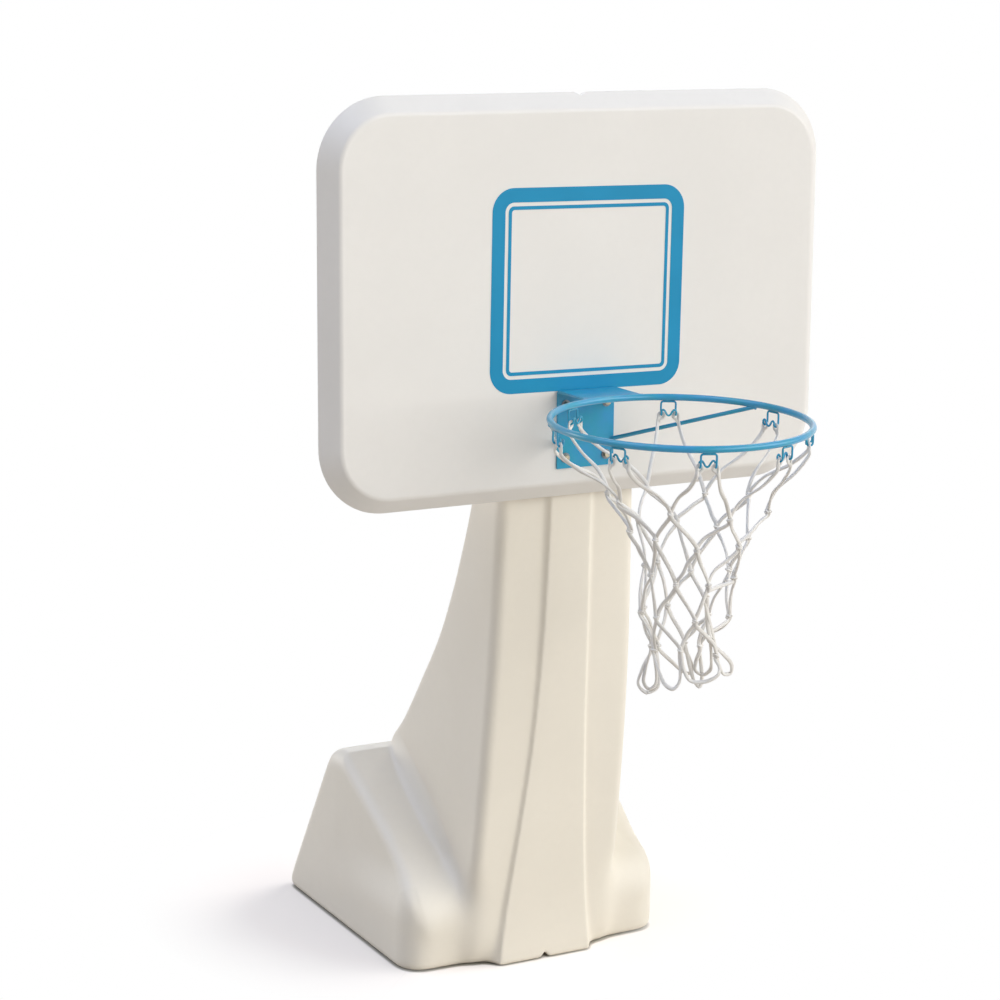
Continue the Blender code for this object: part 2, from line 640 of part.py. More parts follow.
def hook_path():
    """One wire: a bar under the rim, two legs, a curl at each foot and a V between the curls.
    X is along the rim, Y towards the rim's middle, Z up from the rim rod's axis."""
    top = -(RIM_ROD_RADIUS + SEAT_GAP + HOOK_WIRE_RADIUS)
    bottom = top - HOOK_HEIGHT
    wide = HOOK_HALF_WIDTH
    round_top = HOOK_CORNER_RADIUS
    curl = HOOK_CURL_REACH / 2
    arm_top = bottom + HOOK_ARM_TOP
    bend = HOOK_BEND
    half = [(0.0, 0.0, top)]
    half += [(x, 0.0, z) for x, z in reversed(arc(wide - round_top, top - round_top, round_top, 0, 90, 2))]
    half += [(wide, curl + y, z) for y, z in arc(0.0, bottom + curl, curl, 180, 360, 4)]
    half.append((wide, 2 * curl, arm_top - bend))
    half.append((wide - bend, 2 * curl, arm_top))
    half.append((wide - 2 * bend, 2 * curl, arm_top - bend / 2))
    half.append((bend, 2 * curl, bottom + bend / 2))
    middle = [(0.0, 2 * curl, bottom)]
    other = [(-x, y, z) for x, y, z in reversed(half[1:])]
    return half + middle + other


def hook_frame(angle_deg):
    """Frame of a hook: its X along the rim, its Y towards the rim's middle."""
    angle = radians(angle_deg)
    outward = Vector((sin(angle), -cos(angle), 0.0))
    tangent = Vector((cos(angle), sin(angle), 0.0))
    turn = Matrix((tangent, -outward, (0, 0, 1))).transposed().to_4x4()
    return RIM_FRAME @ Matrix.Translation(outward * RIM_RADIUS) @ turn


def make_hooks(material):
    first = wire("net_hook_1", hook_path(), HOOK_WIRE_RADIUS, PARTS, material, closed=True)
    smooth(first, 60.0)
    first.matrix_world = hook_frame(HOOK_ANGLES_DEG[0])
    for i, angle in enumerate(HOOK_ANGLES_DEG[1:], 2):
        copy = bpy.data.objects.new(f"net_hook_{i}", first.data)
        bpy.data.collections[PARTS].objects.link(copy)
        copy.matrix_world = hook_frame(angle)


def net_angles(row):
    """Angles of the knots of a row: hooks' angles on even rows, halfway between on odd ones.
    The spacing evens out from the hooks down."""
    count = len(HOOK_ANGLES_DEG)
    even = [360.0 / count * (k + 0.5) for k in range(count)]
    hooks = [a % 360.0 for a in HOOK_ANGLES_DEG]
    share = min(1.0, row / len(NET_ROWS))
    angles = [h * (1 - share) + e * share for h, e in zip(hooks, even)]
    if row % 2 == 1:
        later = angles[1:] + [angles[0] + 360.0]
        angles = [(a + b) / 2 for a, b in zip(angles, later)]
    return angles


def net_point(angle_deg, drop, radius):
    """A point of the net, swayed a little so that the net hangs as a used one does."""
    angle = radians(angle_deg)
    share = drop / NET_LOOP_DROP
    reach = radius + NET_SWAY * share * sin(3 * angle + 9 * share)
    sink = drop + NET_RAGGED * share * cos(2 * angle + 14 * share)
    return RIM_CENTRE + NET_DRIFT * share + Vector((reach * sin(angle), -reach * cos(angle), -sink))


def knot_rows():
    return [[net_point(a, drop, radius) for a in net_angles(row)]
            for row, (drop, radius) in enumerate(NET_ROWS, 1)]


def hook_strand_start(index, side):
    """The cord's points from a hook's middle, across one curl and down beside it."""
    frame = hook_frame(HOOK_ANGLES_DEG[index])
    rest = -(RIM_ROD_RADIUS + SEAT_GAP + HOOK_WIRE_RADIUS) - HOOK_HEIGHT
    rest += HOOK_WIRE_RADIUS + CORD_RADIUS + SEAT_GAP
    inwards = HOOK_CURL_REACH / 2
    beside = HOOK_HALF_WIDTH + HOOK_WIRE_RADIUS + CORD_RADIUS
    return [frame @ Vector((-side * CORD_CROSSING, inwards + side * CORD_CROSSING, rest)),
            frame @ Vector((side * HOOK_HALF_WIDTH, inwards, rest)),
            frame @ Vector((side * (beside + 2 * SEAT_GAP), inwards, rest - CORD_LEAVES_HOOK)),
            frame @ Vector((side * (beside + CORD_RADIUS), inwards, rest - CORD_BESIDE_HOOK))]


def strand(start, end, bow):
    """Points after start, up to and with end, on a cord that bows a little."""
    middle = RIM_CENTRE.copy()
    middle.z = (start.z + end.z) / 2
    outward = ((start + end) / 2 - middle).normalized()
    points = []
    for k in range(1, STRAND_STEPS + 1):
        t = k / STRAND_STEPS
        points.append(start.lerp(end, t) + outward * (bow * 4 * t * (1 - t)))
    return points


def net_cord(index, rows):
    """One cord: from a hook down through the knots on one hand, round a bottom loop and up the
    other hand to a second hook."""
    count = len(HOOK_ANGLES_DEG)
    last = len(rows)
    down = []
    up = []
    for row in range(last):
        down.append(rows[row][(index + (row + 1) // 2) % count])
    turn = (index + last // 2 + 1) % count
    for row in range(last):
        up.append(rows[row][(turn + (last - 1 - row) // 2 + (0 if row % 2 == 0 else 1)) % count])
    start = hook_strand_start(index, 1)
    end_hook = (turn + (last - 1) // 2 + 1) % count
    finish = hook_strand_start(end_hook, -1)
    loop_angle = net_angles(last + 1)[turn]
    low = net_point(loop_angle, NET_LOOP_DROP, NET_LOOP_RADIUS)
    path = list(start)
    for row, point in enumerate(down):
        path += strand(path[-1], point, STRAND_BOW if row == 0 else -STRAND_BOW)
    side = (up[-1] - down[-1]).normalized() * NET_LOOP_PINCH
    rise = Vector((0.0, 0.0, NET_LOOP_PINCH))
    path += strand(path[-1], low - side + rise, STRAND_BOW)
    path.append(low)
    path.append(low + side + rise)
    for point in reversed(up):
        path += strand(path[-1], point, STRAND_BOW)
    path += strand(path[-1], finish[-1], STRAND_BOW)
    path += list(reversed(finish))[1:]
    return path


def make_net(material):
    rows = knot_rows()
    count = len(HOOK_ANGLES_DEG)
    cords = [wire(f"cord_{k}", net_cord(k, rows), CORD_RADIUS, CUTTERS) for k in range(count)]
    knots = []
    for row in rows:
        for place in row:
            def build(work, place=place):
                bmesh.ops.create_icosphere(work, subdivisions=1, radius=KNOT_RADIUS,
                                           matrix=Matrix.Translation(place))
            knots.append(mesh_from(build, "knot"))
    net = add_mesh("net", cords[0].data.copy(), PARTS, material)
    for other in cords[1:]:
        join(net, other)
    for i, mesh in enumerate(knots, 1):
        join(net, add_mesh(f"knot_{i}", mesh, CUTTERS))
    return net


def make_fasteners(steel, brass):
    shank_end = SEAT_Y + INSERT_LENGTH - BOLT_TIP_MARGIN
    washer_back = WEB_FRONT_Y - SEAT_GAP
    washer_front = washer_back - BOLT_WASHER_THICKNESS
    head_back = washer_front - SEAT_GAP
    for i, (x, z) in enumerate(BOLT_PLACES, 1):
        washer = cylinder(f"bolt_washer_{i}", BOLT_WASHER_RADIUS, (x, washer_back, z),
                          (x, washer_front, z), PARTS, steel, sides=24)
        cut(washer, cylinder(f"washer_bore_{i}", BOLT_HOLE_RADIUS, (x, washer_back + CUT_MARGIN, z),
                             (x, washer_front - CUT_MARGIN, z), CUTTERS, sides=20))
        head = cylinder(f"mounting_bolt_{i}", BOLT_HEAD_FLATS / 2 / cos(pi / 6), (x, head_back, z),
                        (x, head_back - BOLT_HEAD_HEIGHT, z), PARTS, brass, sides=6)
        join(head, cylinder(f"bolt_shank_{i}", BOLT_RADIUS, (x, head_back - BOLT_HEAD_HEIGHT / 2, z),
                            (x, shank_end, z), CUTTERS, sides=16))
        insert = cylinder(f"threaded_insert_{i}", INSERT_RADIUS, (x, SEAT_Y, z),
                          (x, SEAT_Y + INSERT_LENGTH, z), PARTS, brass, sides=20)
        cut(insert, cylinder(f"insert_bore_{i}", BOLT_HOLE_RADIUS, (x, SEAT_Y - CUT_MARGIN, z),
                             (x, SEAT_Y + INSERT_LENGTH - BOLT_TIP_MARGIN / 2, z), CUTTERS, sides=16))


def pivot(name, place, normal):
    """An empty at a screw's axis, whose Z is the way that the screw comes out."""
    empty = bpy.data.objects.new(name, None)
    bpy.data.collections[PARTS].objects.link(empty)
    turn = Vector(normal).to_track_quat("Z", "Y").to_matrix().to_4x4()
    empty.matrix_world = Matrix.Translation(Vector(place)) @ turn
    return empty


def turned(name, profile, parent, material, steps):
    """A turned piece: a profile of (radius, height) pairs, swept by a Screw modifier.
    The profile runs down its outer side and back up inside."""
    count = len(profile)
    edges = [(i, (i + 1) % count) for i in range(count)]
    if profile[0][0] == 0.0:
        edges.pop()
    mesh = bpy.data.meshes.new(name)
    mesh.from_pydata([(radius, 0.0, z) for radius, z in profile], edges, [])
    item = add_mesh(name, mesh, PARTS, material)
    step = item.modifiers.new("turn", "SCREW")
    step.steps = steps
    step.render_steps = steps
    step.use_merge_vertices = True
    step.merge_threshold = 0.00005
    step.use_smooth_shade = True
    item.parent = parent
    return item


def make_fill_cap(cap_material, rubber):
    """A gasket on the neck's lip and a cap with a gripped skirt round the neck."""
    lip = COLUMN_TOP_Z + NECK_HEIGHT
    axis = pivot("fill_axis", (0.0, NECK_Y, lip), (0.0, 0.0, 1.0))
    inner = NECK_RADIUS - NECK_WALL
    low = SEAT_GAP
    high = low + GASKET_THICKNESS
    turned("fill_gasket", [(NECK_RADIUS, high), (NECK_RADIUS, low), (inner, low), (inner, high)], axis,
           rubber, 28)
    ceiling = high + SEAT_GAP
    bore = NECK_RADIUS + CAP_CLEARANCE
    outside = bore + CAP_WALL
    skirt = -(NECK_HEIGHT - CAP_SKIRT_LIFT)
    crown = ceiling + CAP_WALL
    profile = [(0.0, crown), (outside - CAP_EDGE, crown), (outside, crown - CAP_EDGE), (outside, skirt),
               (bore, skirt), (bore, ceiling), (0.0, ceiling)]
    cap = turned("fill_cap", profile, axis, cap_material, 30)
    for k in range(CAP_GRIP_COUNT):
        angle = 2 * pi * k / CAP_GRIP_COUNT
        spot = Vector((outside * cos(angle), outside * sin(angle) + NECK_Y, lip))
        groove = cylinder(f"cap_groove_{k + 1}", CAP_GRIP_DEPTH, spot + Vector((0, 0, skirt - CAP_EDGE)),
                          spot + Vector((0, 0, crown - 2 * CAP_EDGE)), CUTTERS, sides=8)
        cut(cap, groove)


def make_drain_plug(plug_material, rubber):
    """A plug with a flange and a thumb grip, whose shank fills the drain bore."""
    axis = pivot("drain_axis", DRAIN_PLACE, REAR_NORMAL)
    shank = DRAIN_BORE_RADIUS - DRAIN_CLEARANCE
    low = SEAT_GAP
    high = low + GASKET_THICKNESS
    outer = DRAIN_BORE_RADIUS + DRAIN_GASKET_WALL
    turned("drain_gasket", [(outer, high), (outer, low), (DRAIN_BORE_RADIUS, low),
                            (DRAIN_BORE_RADIUS, high)], axis, rubber, 28)
    under = high + SEAT_GAP
    over = under + DRAIN_FLANGE
    profile = [(0.0, over), (DRAIN_FLANGE_RADIUS - DRAIN_EDGE, over),
               (DRAIN_FLANGE_RADIUS, over - DRAIN_EDGE), (DRAIN_FLANGE_RADIUS, under), (shank, under),
               (shank, DRAIN_EDGE - DRAIN_SHANK), (shank - DRAIN_EDGE, -DRAIN_SHANK), (0.0, -DRAIN_SHANK)]
    plug = turned("drain_plug", profile, axis, plug_material, 28)
    grip = box("plug_grip", (-DRAIN_GRIP_LENGTH / 2, -DRAIN_GRIP_WIDTH / 2, over - DRAIN_FLANGE / 2),
               (DRAIN_GRIP_LENGTH / 2, DRAIN_GRIP_WIDTH / 2, over + DRAIN_GRIP_HEIGHT), CUTTERS)
    bevel_angles(grip, DRAIN_GRIP_EDGE, 2, 40.0)
    grip.parent = axis
    join(plug, grip)


def build_hoop():
    clear_scene()
    make_collection(PARTS)
    make_collection(CUTTERS)
    cream = make_material("cream_polyethylene", (0.80, 0.765, 0.70), 0.45)
    white = make_material("white_polyethylene", (0.81, 0.785, 0.74), 0.42)
    print_blue = make_material("target_print", (0.045, 0.30, 0.52), 0.50)
    rim_blue = make_material("blue_powder_coat", (0.06, 0.32, 0.50), 0.35)
    cord = make_material("white_cord", (0.72, 0.71, 0.69), 0.85)
    brass = make_material("brass", (0.70, 0.52, 0.28), 0.35, 1.0)
    steel = make_material("zinc_steel", (0.55, 0.55, 0.53), 0.35, 1.0)
    grey = make_material("grey_cap", (0.30, 0.31, 0.32), 0.50)
    rubber = make_material("black_rubber", (0.03, 0.03, 0.03), 0.80)
    make_base(cream)
    make_board(white)
    make_target(print_blue)
    make_rim(rim_blue)
    make_hooks(rim_blue)
    make_net(cord)
    make_fasteners(steel, brass)
    make_fill_cap(grey, rubber)
    make_drain_plug(grey, rubber)


build_hoop()
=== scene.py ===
# Looks of the poolside basketball hoop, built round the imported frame.
# Units are metres, +Z is up, the hoop faces -Y and the origin is on the deck
# plane, at the middle of the foot.
from functools import cached_property
from math import asin, atan2, cos, degrees, pi, radians, sin, sqrt, tau

import bmesh
import bpy
import numpy as np
from mathutils import Matrix, Vector


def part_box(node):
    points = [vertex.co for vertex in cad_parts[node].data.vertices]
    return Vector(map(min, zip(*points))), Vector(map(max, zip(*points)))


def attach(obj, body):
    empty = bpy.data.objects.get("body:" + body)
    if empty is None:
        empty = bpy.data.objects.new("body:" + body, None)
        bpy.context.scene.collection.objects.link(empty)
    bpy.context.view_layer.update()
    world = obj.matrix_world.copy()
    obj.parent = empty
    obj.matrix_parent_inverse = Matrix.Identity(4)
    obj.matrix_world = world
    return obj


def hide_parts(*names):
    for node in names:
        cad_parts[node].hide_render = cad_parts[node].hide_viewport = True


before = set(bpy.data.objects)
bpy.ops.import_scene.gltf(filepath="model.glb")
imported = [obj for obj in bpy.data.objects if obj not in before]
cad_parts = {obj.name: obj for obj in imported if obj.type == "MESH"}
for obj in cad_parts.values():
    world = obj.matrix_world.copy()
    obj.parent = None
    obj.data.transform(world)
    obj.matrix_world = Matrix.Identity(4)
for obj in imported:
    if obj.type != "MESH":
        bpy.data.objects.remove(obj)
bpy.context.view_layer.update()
SCENE = bpy.context.scene

# Camera, fitted to the photograph's outlines
CAMERA_PLACE = Vector((-2.4413, -4.7366, 1.9970))
CAMERA_YAW_DEG = -27.95
CAMERA_PITCH_DEG = -11.74
CAMERA_ROLL_DEG = 0.42
CAMERA_LENS_MM = 93.95
CAMERA_SENSOR_MM = 36.0
IMAGE_SIZE = 1000

# Foot of the base, as in the part
FOOT_HALF_WIDTH = 0.294
FOOT_FRONT_Y = -0.306
FOOT_REAR_Y = 0.306
FOOT_REAR_TOP_Y = 0.067
FOOT_TOP_FRONT_Y = 0.018
FOOT_TOP_Z = 0.374
WING_KNEE_Y = -0.185
WING_KNEE_Z = 0.245
FOOT_LIP_Z = 0.139
FOOT_CORNER_RADIUS = 0.050
FOOT_REAR_TOP_RADIUS = 0.021
FOOT_TOP_SIDE_RADIUS = 0.038
FOOT_RIDGE_RADIUS = 0.021
FOOT_LOW_RADIUS = 0.014
FOOT_REAR_CORNER_RADIUS = 0.022
FOOT_REAR_LOW_RADIUS = 0.032
FOOT_MASK_TOP = 0.075
FOOT_MASK_MARGIN = 0.06

# The foot's front lip comes forward towards the column: half widths and the way it comes
LIP_STATIONS = ((0.294, 0.0), (0.171, 0.026), (0.090, 0.029))

# The foot's sides draw in towards the front of the wings, and the column's sides flare out to meet
# the wings: the way they go at several places along Y
SIDE_DRAW = ((-0.300, 0.010), (-0.240, 0.015), (-0.180, 0.0155), (-0.120, 0.012), (-0.050, 0.006),
             (0.040, 0.0))
SIDE_DRAW_HEIGHTS = (0.100, 0.200)
SIDE_DRAW_WIDTHS = (0.200, 0.270)
FLARE = ((-0.305, 0.0), (-0.270, 0.014), (-0.220, 0.0185), (-0.030, 0.0185), (0.010, 0.010),
         (0.040, 0.0))

# The flare fades out over this height above the wings, and at this half width. It starts and is
# full this far inside the column's wall
FLARE_RISE = 0.050
FLARE_POWER = 1.7
FLARE_REACH = 0.270
FLARE_INNER = (0.045, 0.012)

# Column, as in the part: distance behind the board's face, or half width, at several heights
RIB_FRONT = ((0.0, 0.131), (0.06, 0.1315), (0.12, 0.1285), (0.20, 0.1195), (0.30, 0.106),
             (0.50, 0.0806), (0.70, 0.0618), (0.90, 0.0505), (0.985, 0.0465))
RIB_PROUD = ((0.0, 0.032), (0.015, 0.024), (0.035, 0.015), (0.06, 0.011), (0.12, 0.0088),
             (0.985, 0.0085))
RIB_LEAST_PROUD = 0.0004
RIB_HALF_WIDTH = ((0.0, 0.106), (0.10, 0.095), (0.20, 0.084), (0.30, 0.0745), (0.50, 0.059),
                  (0.70, 0.0512), (0.88, 0.0475), (0.985, 0.0465))
RIB_FLARE = ((0.0, 0.024), (0.02, 0.016), (0.04, 0.011), (0.06, 0.009), (0.985, 0.009))
COLUMN_HALF_WIDTH = ((0.0, 0.171), (0.30, 0.166), (0.60, 0.1605), (0.985, 0.150))
COLUMN_REAR = ((0.0, 0.505), (0.30, 0.520), (0.37, 0.532), (0.45, 0.466), (0.549, 0.392), (0.65, 0.321),
               (0.746, 0.271), (0.817, 0.241), (0.957, 0.192), (1.08, 0.162), (1.20, 0.149))
COLUMN_CORNER_RADIUS = 0.0225
COLUMN_REAR_RADIUS = 0.025
COLUMN_TOP_Z = 1.335
COLUMN_TOP_EDGE = 0.012
COLUMN_LOW_EDGE = 0.007
RIB_CORNER_RADIUS = 0.0045
SEAT_GAP = 0.0003
SEAT_START_RISE = 0.045
NOTCH_WIDTH = 0.024
NOTCH_HEIGHT = 0.013
NOTCH_LENGTH = 0.060

# Fine surface of the base: height between levels, voxel size, and rounding of the inner corners
LEVEL_STEP = 0.010
BASE_VOXEL = 0.0028
BASE_SMOOTH_STEPS = 4
FILLET_REACH = 0.018
FILLET_STEPS = 26
BLEND_STEPS = 420
CORNER_STEPS = 40

# Backboard, from its node's box and the part's radii
BOARD_LOW, BOARD_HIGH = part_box("backboard")
BOARD_FACE_Y = BOARD_LOW.y
BOARD_BACK_Y = BOARD_HIGH.y
BOARD_DRAFT = 0.031
BOARD_CORNER_RADIUS = 0.132
BOARD_FACE_EDGE_RADIUS = 0.013
BOARD_BACK_EDGE_RADIUS = 0.004
BOARD_EDGE_STEPS = 12
BOARD_RIM_INSET = 0.002
BOARD_NOTCH_WIDTH = 0.026
BOARD_NOTCH_DEPTH = 0.007
BOARD_NOTCH_LENGTH = 0.014
BOARD_VENT_RADIUS = 0.004
BOARD_VENT_X = 0.300
BOARD_VENT_RISE = 0.080
SEAT_Y = BOARD_BACK_Y + SEAT_GAP

# Printed target
TARGET_WIDTH = 0.414
TARGET_HEIGHT = 0.385
TARGET_ABOVE_RIM = 0.008
TARGET_BAND = 0.027
TARGET_SPACE = 0.007
TARGET_LINE = 0.0066
TARGET_CORNER_RADIUS = 0.045
TARGET_LEAST_RADIUS = 0.006
TARGET_SIDE_SHIFT = 0.0035
TARGET_TURN_DEG = 0.7
INK_THICKNESS = 0.0006

# Rim, bracket, braces and hooks
RIM_HEIGHT = 1.186
RIM_ROD_RADIUS = 0.00635
RIM_RADIUS = 0.4572 / 2 + RIM_ROD_RADIUS
RIM_CENTRE = Vector((0.0, BOARD_FACE_Y - 0.347, RIM_HEIGHT))
RIM_DROOP_DEG = 1.6
RIM_FRAME = Matrix.Translation(RIM_CENTRE) @ Matrix.Rotation(radians(RIM_DROOP_DEG), 4, "X")
BRACKET_LOW, BRACKET_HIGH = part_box("rim_bracket")
BRACKET_WIDTH = BRACKET_HIGH.x - BRACKET_LOW.x
BRACKET_SHEET = 0.0045
BRACKET_BEND_RADIUS = 0.006
BRACKET_EDGE = 0.0006
BRACE_RADIUS = 0.004
BRACE_DROP = 0.091
BRACE_EDGE_MARGIN = 0.0045
BRACE_RIM_ANGLE_DEG = 112.0
HOOK_ANGLES_DEG = (20.0, 59.0, 102.0, 154.0, -154.0, -102.0, -59.0, -20.0)
HOOK_COUNT = len(HOOK_ANGLES_DEG)
HOOK_WIRE_RADIUS = 0.0019
HOOK_HALF_WIDTH = 0.0138
HOOK_HEIGHT = 0.0245
HOOK_CURL_REACH = 0.011
HOOK_CORNER_RADIUS = 0.004
HOOK_ARM_TOP = 0.0110
HOOK_BEND = 0.0028
HOOK_STEP = 0.0012
WELD_STEP = 0.0006
PLATE_WELD_RADIUS = 0.0022
BRACE_WEB_WELD_RADIUS = 0.0014
BRACE_RING_WELD_RADIUS = 0.0016
HOOK_WELD_RADIUS = 0.0011

# Net of knotted cord. Its knots and the low ends of its loops stand where the photograph shows
# them: one pixel for each, in order round the ring, from the one right of the front
CORD_RADIUS = 0.0032
CORD_FLATTENING = 0.20
NET_RADII = (0.147, 0.115, 0.090, 0.078, 0.064)
NET_KNOTS = (
    ((768, 511.5), (749, 494.5), (705, 494), (647, 487),
     (608, 493), (619, 503), (670.5, 514.5), (730, 520.5)),
    ((739, 547), (748, 538), (717, 527), (677, 521),
     (639, 520.5), (630, 531), (655.5, 540), (697, 550.5)),
    ((734, 577.5), (729, 569.5), (691, 570.5), (657.5, 562),
     (645, 565), (651, 574.5), (676, 585), (708.5, 585.5)),
    ((706, 596), (729, 616.5), (708.5, 614), (667.5, 605.5),
     (643.5, 608), (641, 612), (656.5, 617.5), (695, 622)),
    ((709, 636), (700, 645.5), (684.5, 642.5), (657.5, 645),
     (651.5, 646), (654, 650.5), (680.5, 651), (716, 655.5)),
)
NET_LOOP_RADIUS = 0.070
NET_LOOPS = ((730.5, 673), (702, 675), (699, 687), (690, 673),
             (646.5, 692.5), (649, 689), (673, 689), (705.5, 681.5))
NET_LOOP_HALF_WIDTHS = (0.010, 0.012, 0.005, 0.006, 0.017, 0.010, 0.009, 0.021)
NET_LOOP_DROP = 0.482
NET_DRIFT = Vector((0.020, -0.010, 0.0))
STRAND_BOW = 0.004
FIRST_STRAND = (-0.07, 0.06, -STRAND_BOW)
EYE_PATH = ((0.0040, -0.0140), (0.0008, -0.0085), (-0.0042, -0.0045), (-0.0050, 0.0004),
            (-0.0033, 0.0038), (0.0, 0.0050), (0.0036, 0.0036), (0.0052, -0.0002), (0.0050, -0.0070),
            (0.0056, -0.0140))
EYE_LENGTH = 0.034
EYE_TAPER = 0.012
EYE_SHARE = 0.72
CORD_SIDES = 12
CORD_STEP = 0.00125
BRAID_PITCH = 0.009
BRAID_RELIEF = 0.055
KNOT_PASS = 0.0060
KNOT_SPREAD = 0.0014
KNOT_CROSSING = 0.0026
KNOT_HALF_WIDTH = 0.0037
KNOT_HALF_DEPTH = 0.0046
KNOT_RISE = 0.0021
KNOT_CORD_RADIUS = 0.0020
KNOT_STEPS = 80

# Fasteners
BOLT_SPACING_X = 0.089
BOLT_SPACING_Z = 0.102
BOLT_BELOW_RIM = 0.018
BOLT_RADIUS = 0.00475
BOLT_BORE_RADIUS = BOLT_RADIUS + 0.0004
BOLT_HEAD_FLATS = 0.0110
BOLT_HEAD = 0.0060
WASHER_EDGE = 0.0003
WEB_BACK_Y = BOARD_FACE_Y - SEAT_GAP
WEB_FRONT_Y = WEB_BACK_Y - BRACKET_SHEET
BOLT_PLACES = [(x, RIM_HEIGHT - BOLT_BELOW_RIM - row * BOLT_SPACING_Z)
               for row in (0, 1) for x in (-BOLT_SPACING_X / 2, BOLT_SPACING_X / 2)]

# Fill cap and drain plug
NECK_RADIUS = 0.030
NECK_INSIDE = 0.025
NECK_HEIGHT = 0.020
NECK_LIP_Z = COLUMN_TOP_Z + NECK_HEIGHT
NECK_Y = SEAT_Y + 0.056
NECK_THREAD_DEPTH = 0.0005
CAP_WALL = 0.0035
CAP_CLEARANCE = 0.0006
CAP_SKIRT_LIFT = 0.0015
CAP_DISH = 0.0012
CAP_ROUND = 0.003
CAP_GRIP_COUNT = 24
CAP_GRIP_DEPTH = 0.0013
SEAL_TOP = SEAT_GAP + 0.0020
SEAL_EDGE = 0.0004
REAR_FACE = Vector((0.0, FOOT_REAR_TOP_Y - FOOT_REAR_Y, FOOT_TOP_Z)).normalized()
REAR_NORMAL = Vector((0.0, REAR_FACE.z, -REAR_FACE.y))
DRAIN_PLACE = Vector((0.0, FOOT_REAR_Y, 0.0)) + REAR_FACE * 0.075
DRAIN_BORE_RADIUS = 0.0130
DRAIN_SEAL_RADIUS = 0.019
DRAIN_SHANK = 0.016
DRAIN_THREAD_DEPTH = 0.0008
DRAIN_FLANGE_RADIUS = 0.022
DRAIN_FLANGE = 0.004
DRAIN_GRIP = (0.030, 0.008, 0.012)

# Floor: the shadow fades out between these distances from its middle
FLOOR_HALF_SIZE = 400.0
POOL_MIDDLE = (-0.02, 0.08, 0.0)
POOL_INNER = 0.42
POOL_OUTER = 0.66
# Reach of the painted contact shade, which darkens the floor in the crevice under the object's edges
FLOOR_CONTACT_SHADE_REACH = 0.011

# Distant lamps: direction they shine from, strength, width in degrees and colour
SUNS = (
    ("key_light", (0.58, -0.76, 0.10), 4.08, 82.0, (0.99, 1.0, 1.0)),
    ("top_light", (-0.50, 0.05, 0.85), 1.15, 50.0, (0.84, 0.96, 1.27)),
    ("high_light", (0.54, 0.06, 0.84), 0.17, 10.0, (1.0, 1.0, 1.0)),
    ("left_light", (-0.62, 0.76, 0.20), 0.90, 30.0, (1.03, 1.0, 0.92)),
    ("back_light", (0.40, 0.75, 0.50), 0.48, 30.0, (1.0, 1.0, 1.0)),
)
FLOOR_SUN = ("floor_light", (0.80, -0.15, 0.58), 2.10, 42.0, (1.0, 1.0, 1.0))

# How far a cutting form stands out of what it cuts, and the turn that points a form's top at -Y
CUT_MARGIN = 0.01
FACING_FRONT = Matrix.Rotation(pi / 2, 4, "X")


# Numbers and curves

def clamp(value):
    return max(0.0, min(1.0, value))


def step_up(at, low, high):
    """Smooth step from 0 at low to 1 at high."""
    share = clamp((at - low) / (high - low))
    return share * share * (3 - 2 * share)


def along(points, at):
    """Smooth curve through (position, value) pairs, held level past both ends."""
    if at <= points[0][0]:
        return points[0][1]
    if at >= points[-1][0]:
        return points[-1][1]
    i = max(k for k in range(len(points) - 1) if points[k][0] <= at)
    (x0, y0), (x1, y1) = points[i], points[i + 1]
    span = x1 - x0
    rise = (y1 - y0) / span
    before = (y0 - points[i - 1][1]) / (x0 - points[i - 1][0]) if i > 0 else rise
    after = (points[i + 2][1] - y1) / (points[i + 2][0] - x1) if i + 2 < len(points) else rise
    t = (at - x0) / span
    start = (before + rise) / 2
    finish = (after + rise) / 2
    return ((1 + 2 * t) * (1 - t) ** 2 * y0 + t * (1 - t) ** 2 * span * start
            + t * t * (3 - 2 * t) * y1 + t * t * (t - 1) * span * finish)


def quarter_turns(first_deg=0, last_deg=90):
    """Angles at which a rounded edge gets its levels."""
    return [radians(turn) for turn in range(first_deg, last_deg + 1, 15)]


def arc(centre_x, centre_y, radius, start_deg, end_deg, steps):
    angles = [radians(start_deg + (end_deg - start_deg) * k / steps) for k in range(steps + 1)]
    return [(centre_x + radius * cos(a), centre_y + radius * sin(a)) for a in angles]


def rounded_rectangle(width, height, radius, steps=20):
    x = width / 2 - radius
    y = height / 2 - radius
    path = []
    for k, (centre_x, centre_y) in enumerate(((x, y), (-x, y), (-x, -y), (x, -y))):
        path += arc(centre_x, centre_y, radius, 90 * k, 90 * (k + 1), steps)
    return path


def mirrored(side, z):
    """A closed ring at height z from its right half."""
    return [(x, y, z) for x, y in side + [(-x, y) for x, y in reversed(side)]]


def centripetal(places, steps=24):
    """Points of a centripetal Catmull-Rom curve from the second of four places up to the third,
    without the third."""
    times = [0.0]
    for a, b in zip(places, places[1:]):
        times.append(times[-1] + max(np.linalg.norm(b - a), 1e-9) ** 0.5)
    made = []
    for k in range(steps):
        t = times[1] + (times[2] - times[1]) * k / steps
        row = places
        for spans in (((0, 1), (1, 2), (2, 3)), ((0, 2), (1, 3)), ((1, 2),)):
            row = [(times[j] - t) / (times[j] - times[i]) * a
                   + (t - times[i]) / (times[j] - times[i]) * b
                   for (i, j), a, b in zip(spans, row, row[1:])]
        made.append(row[0])
    return made


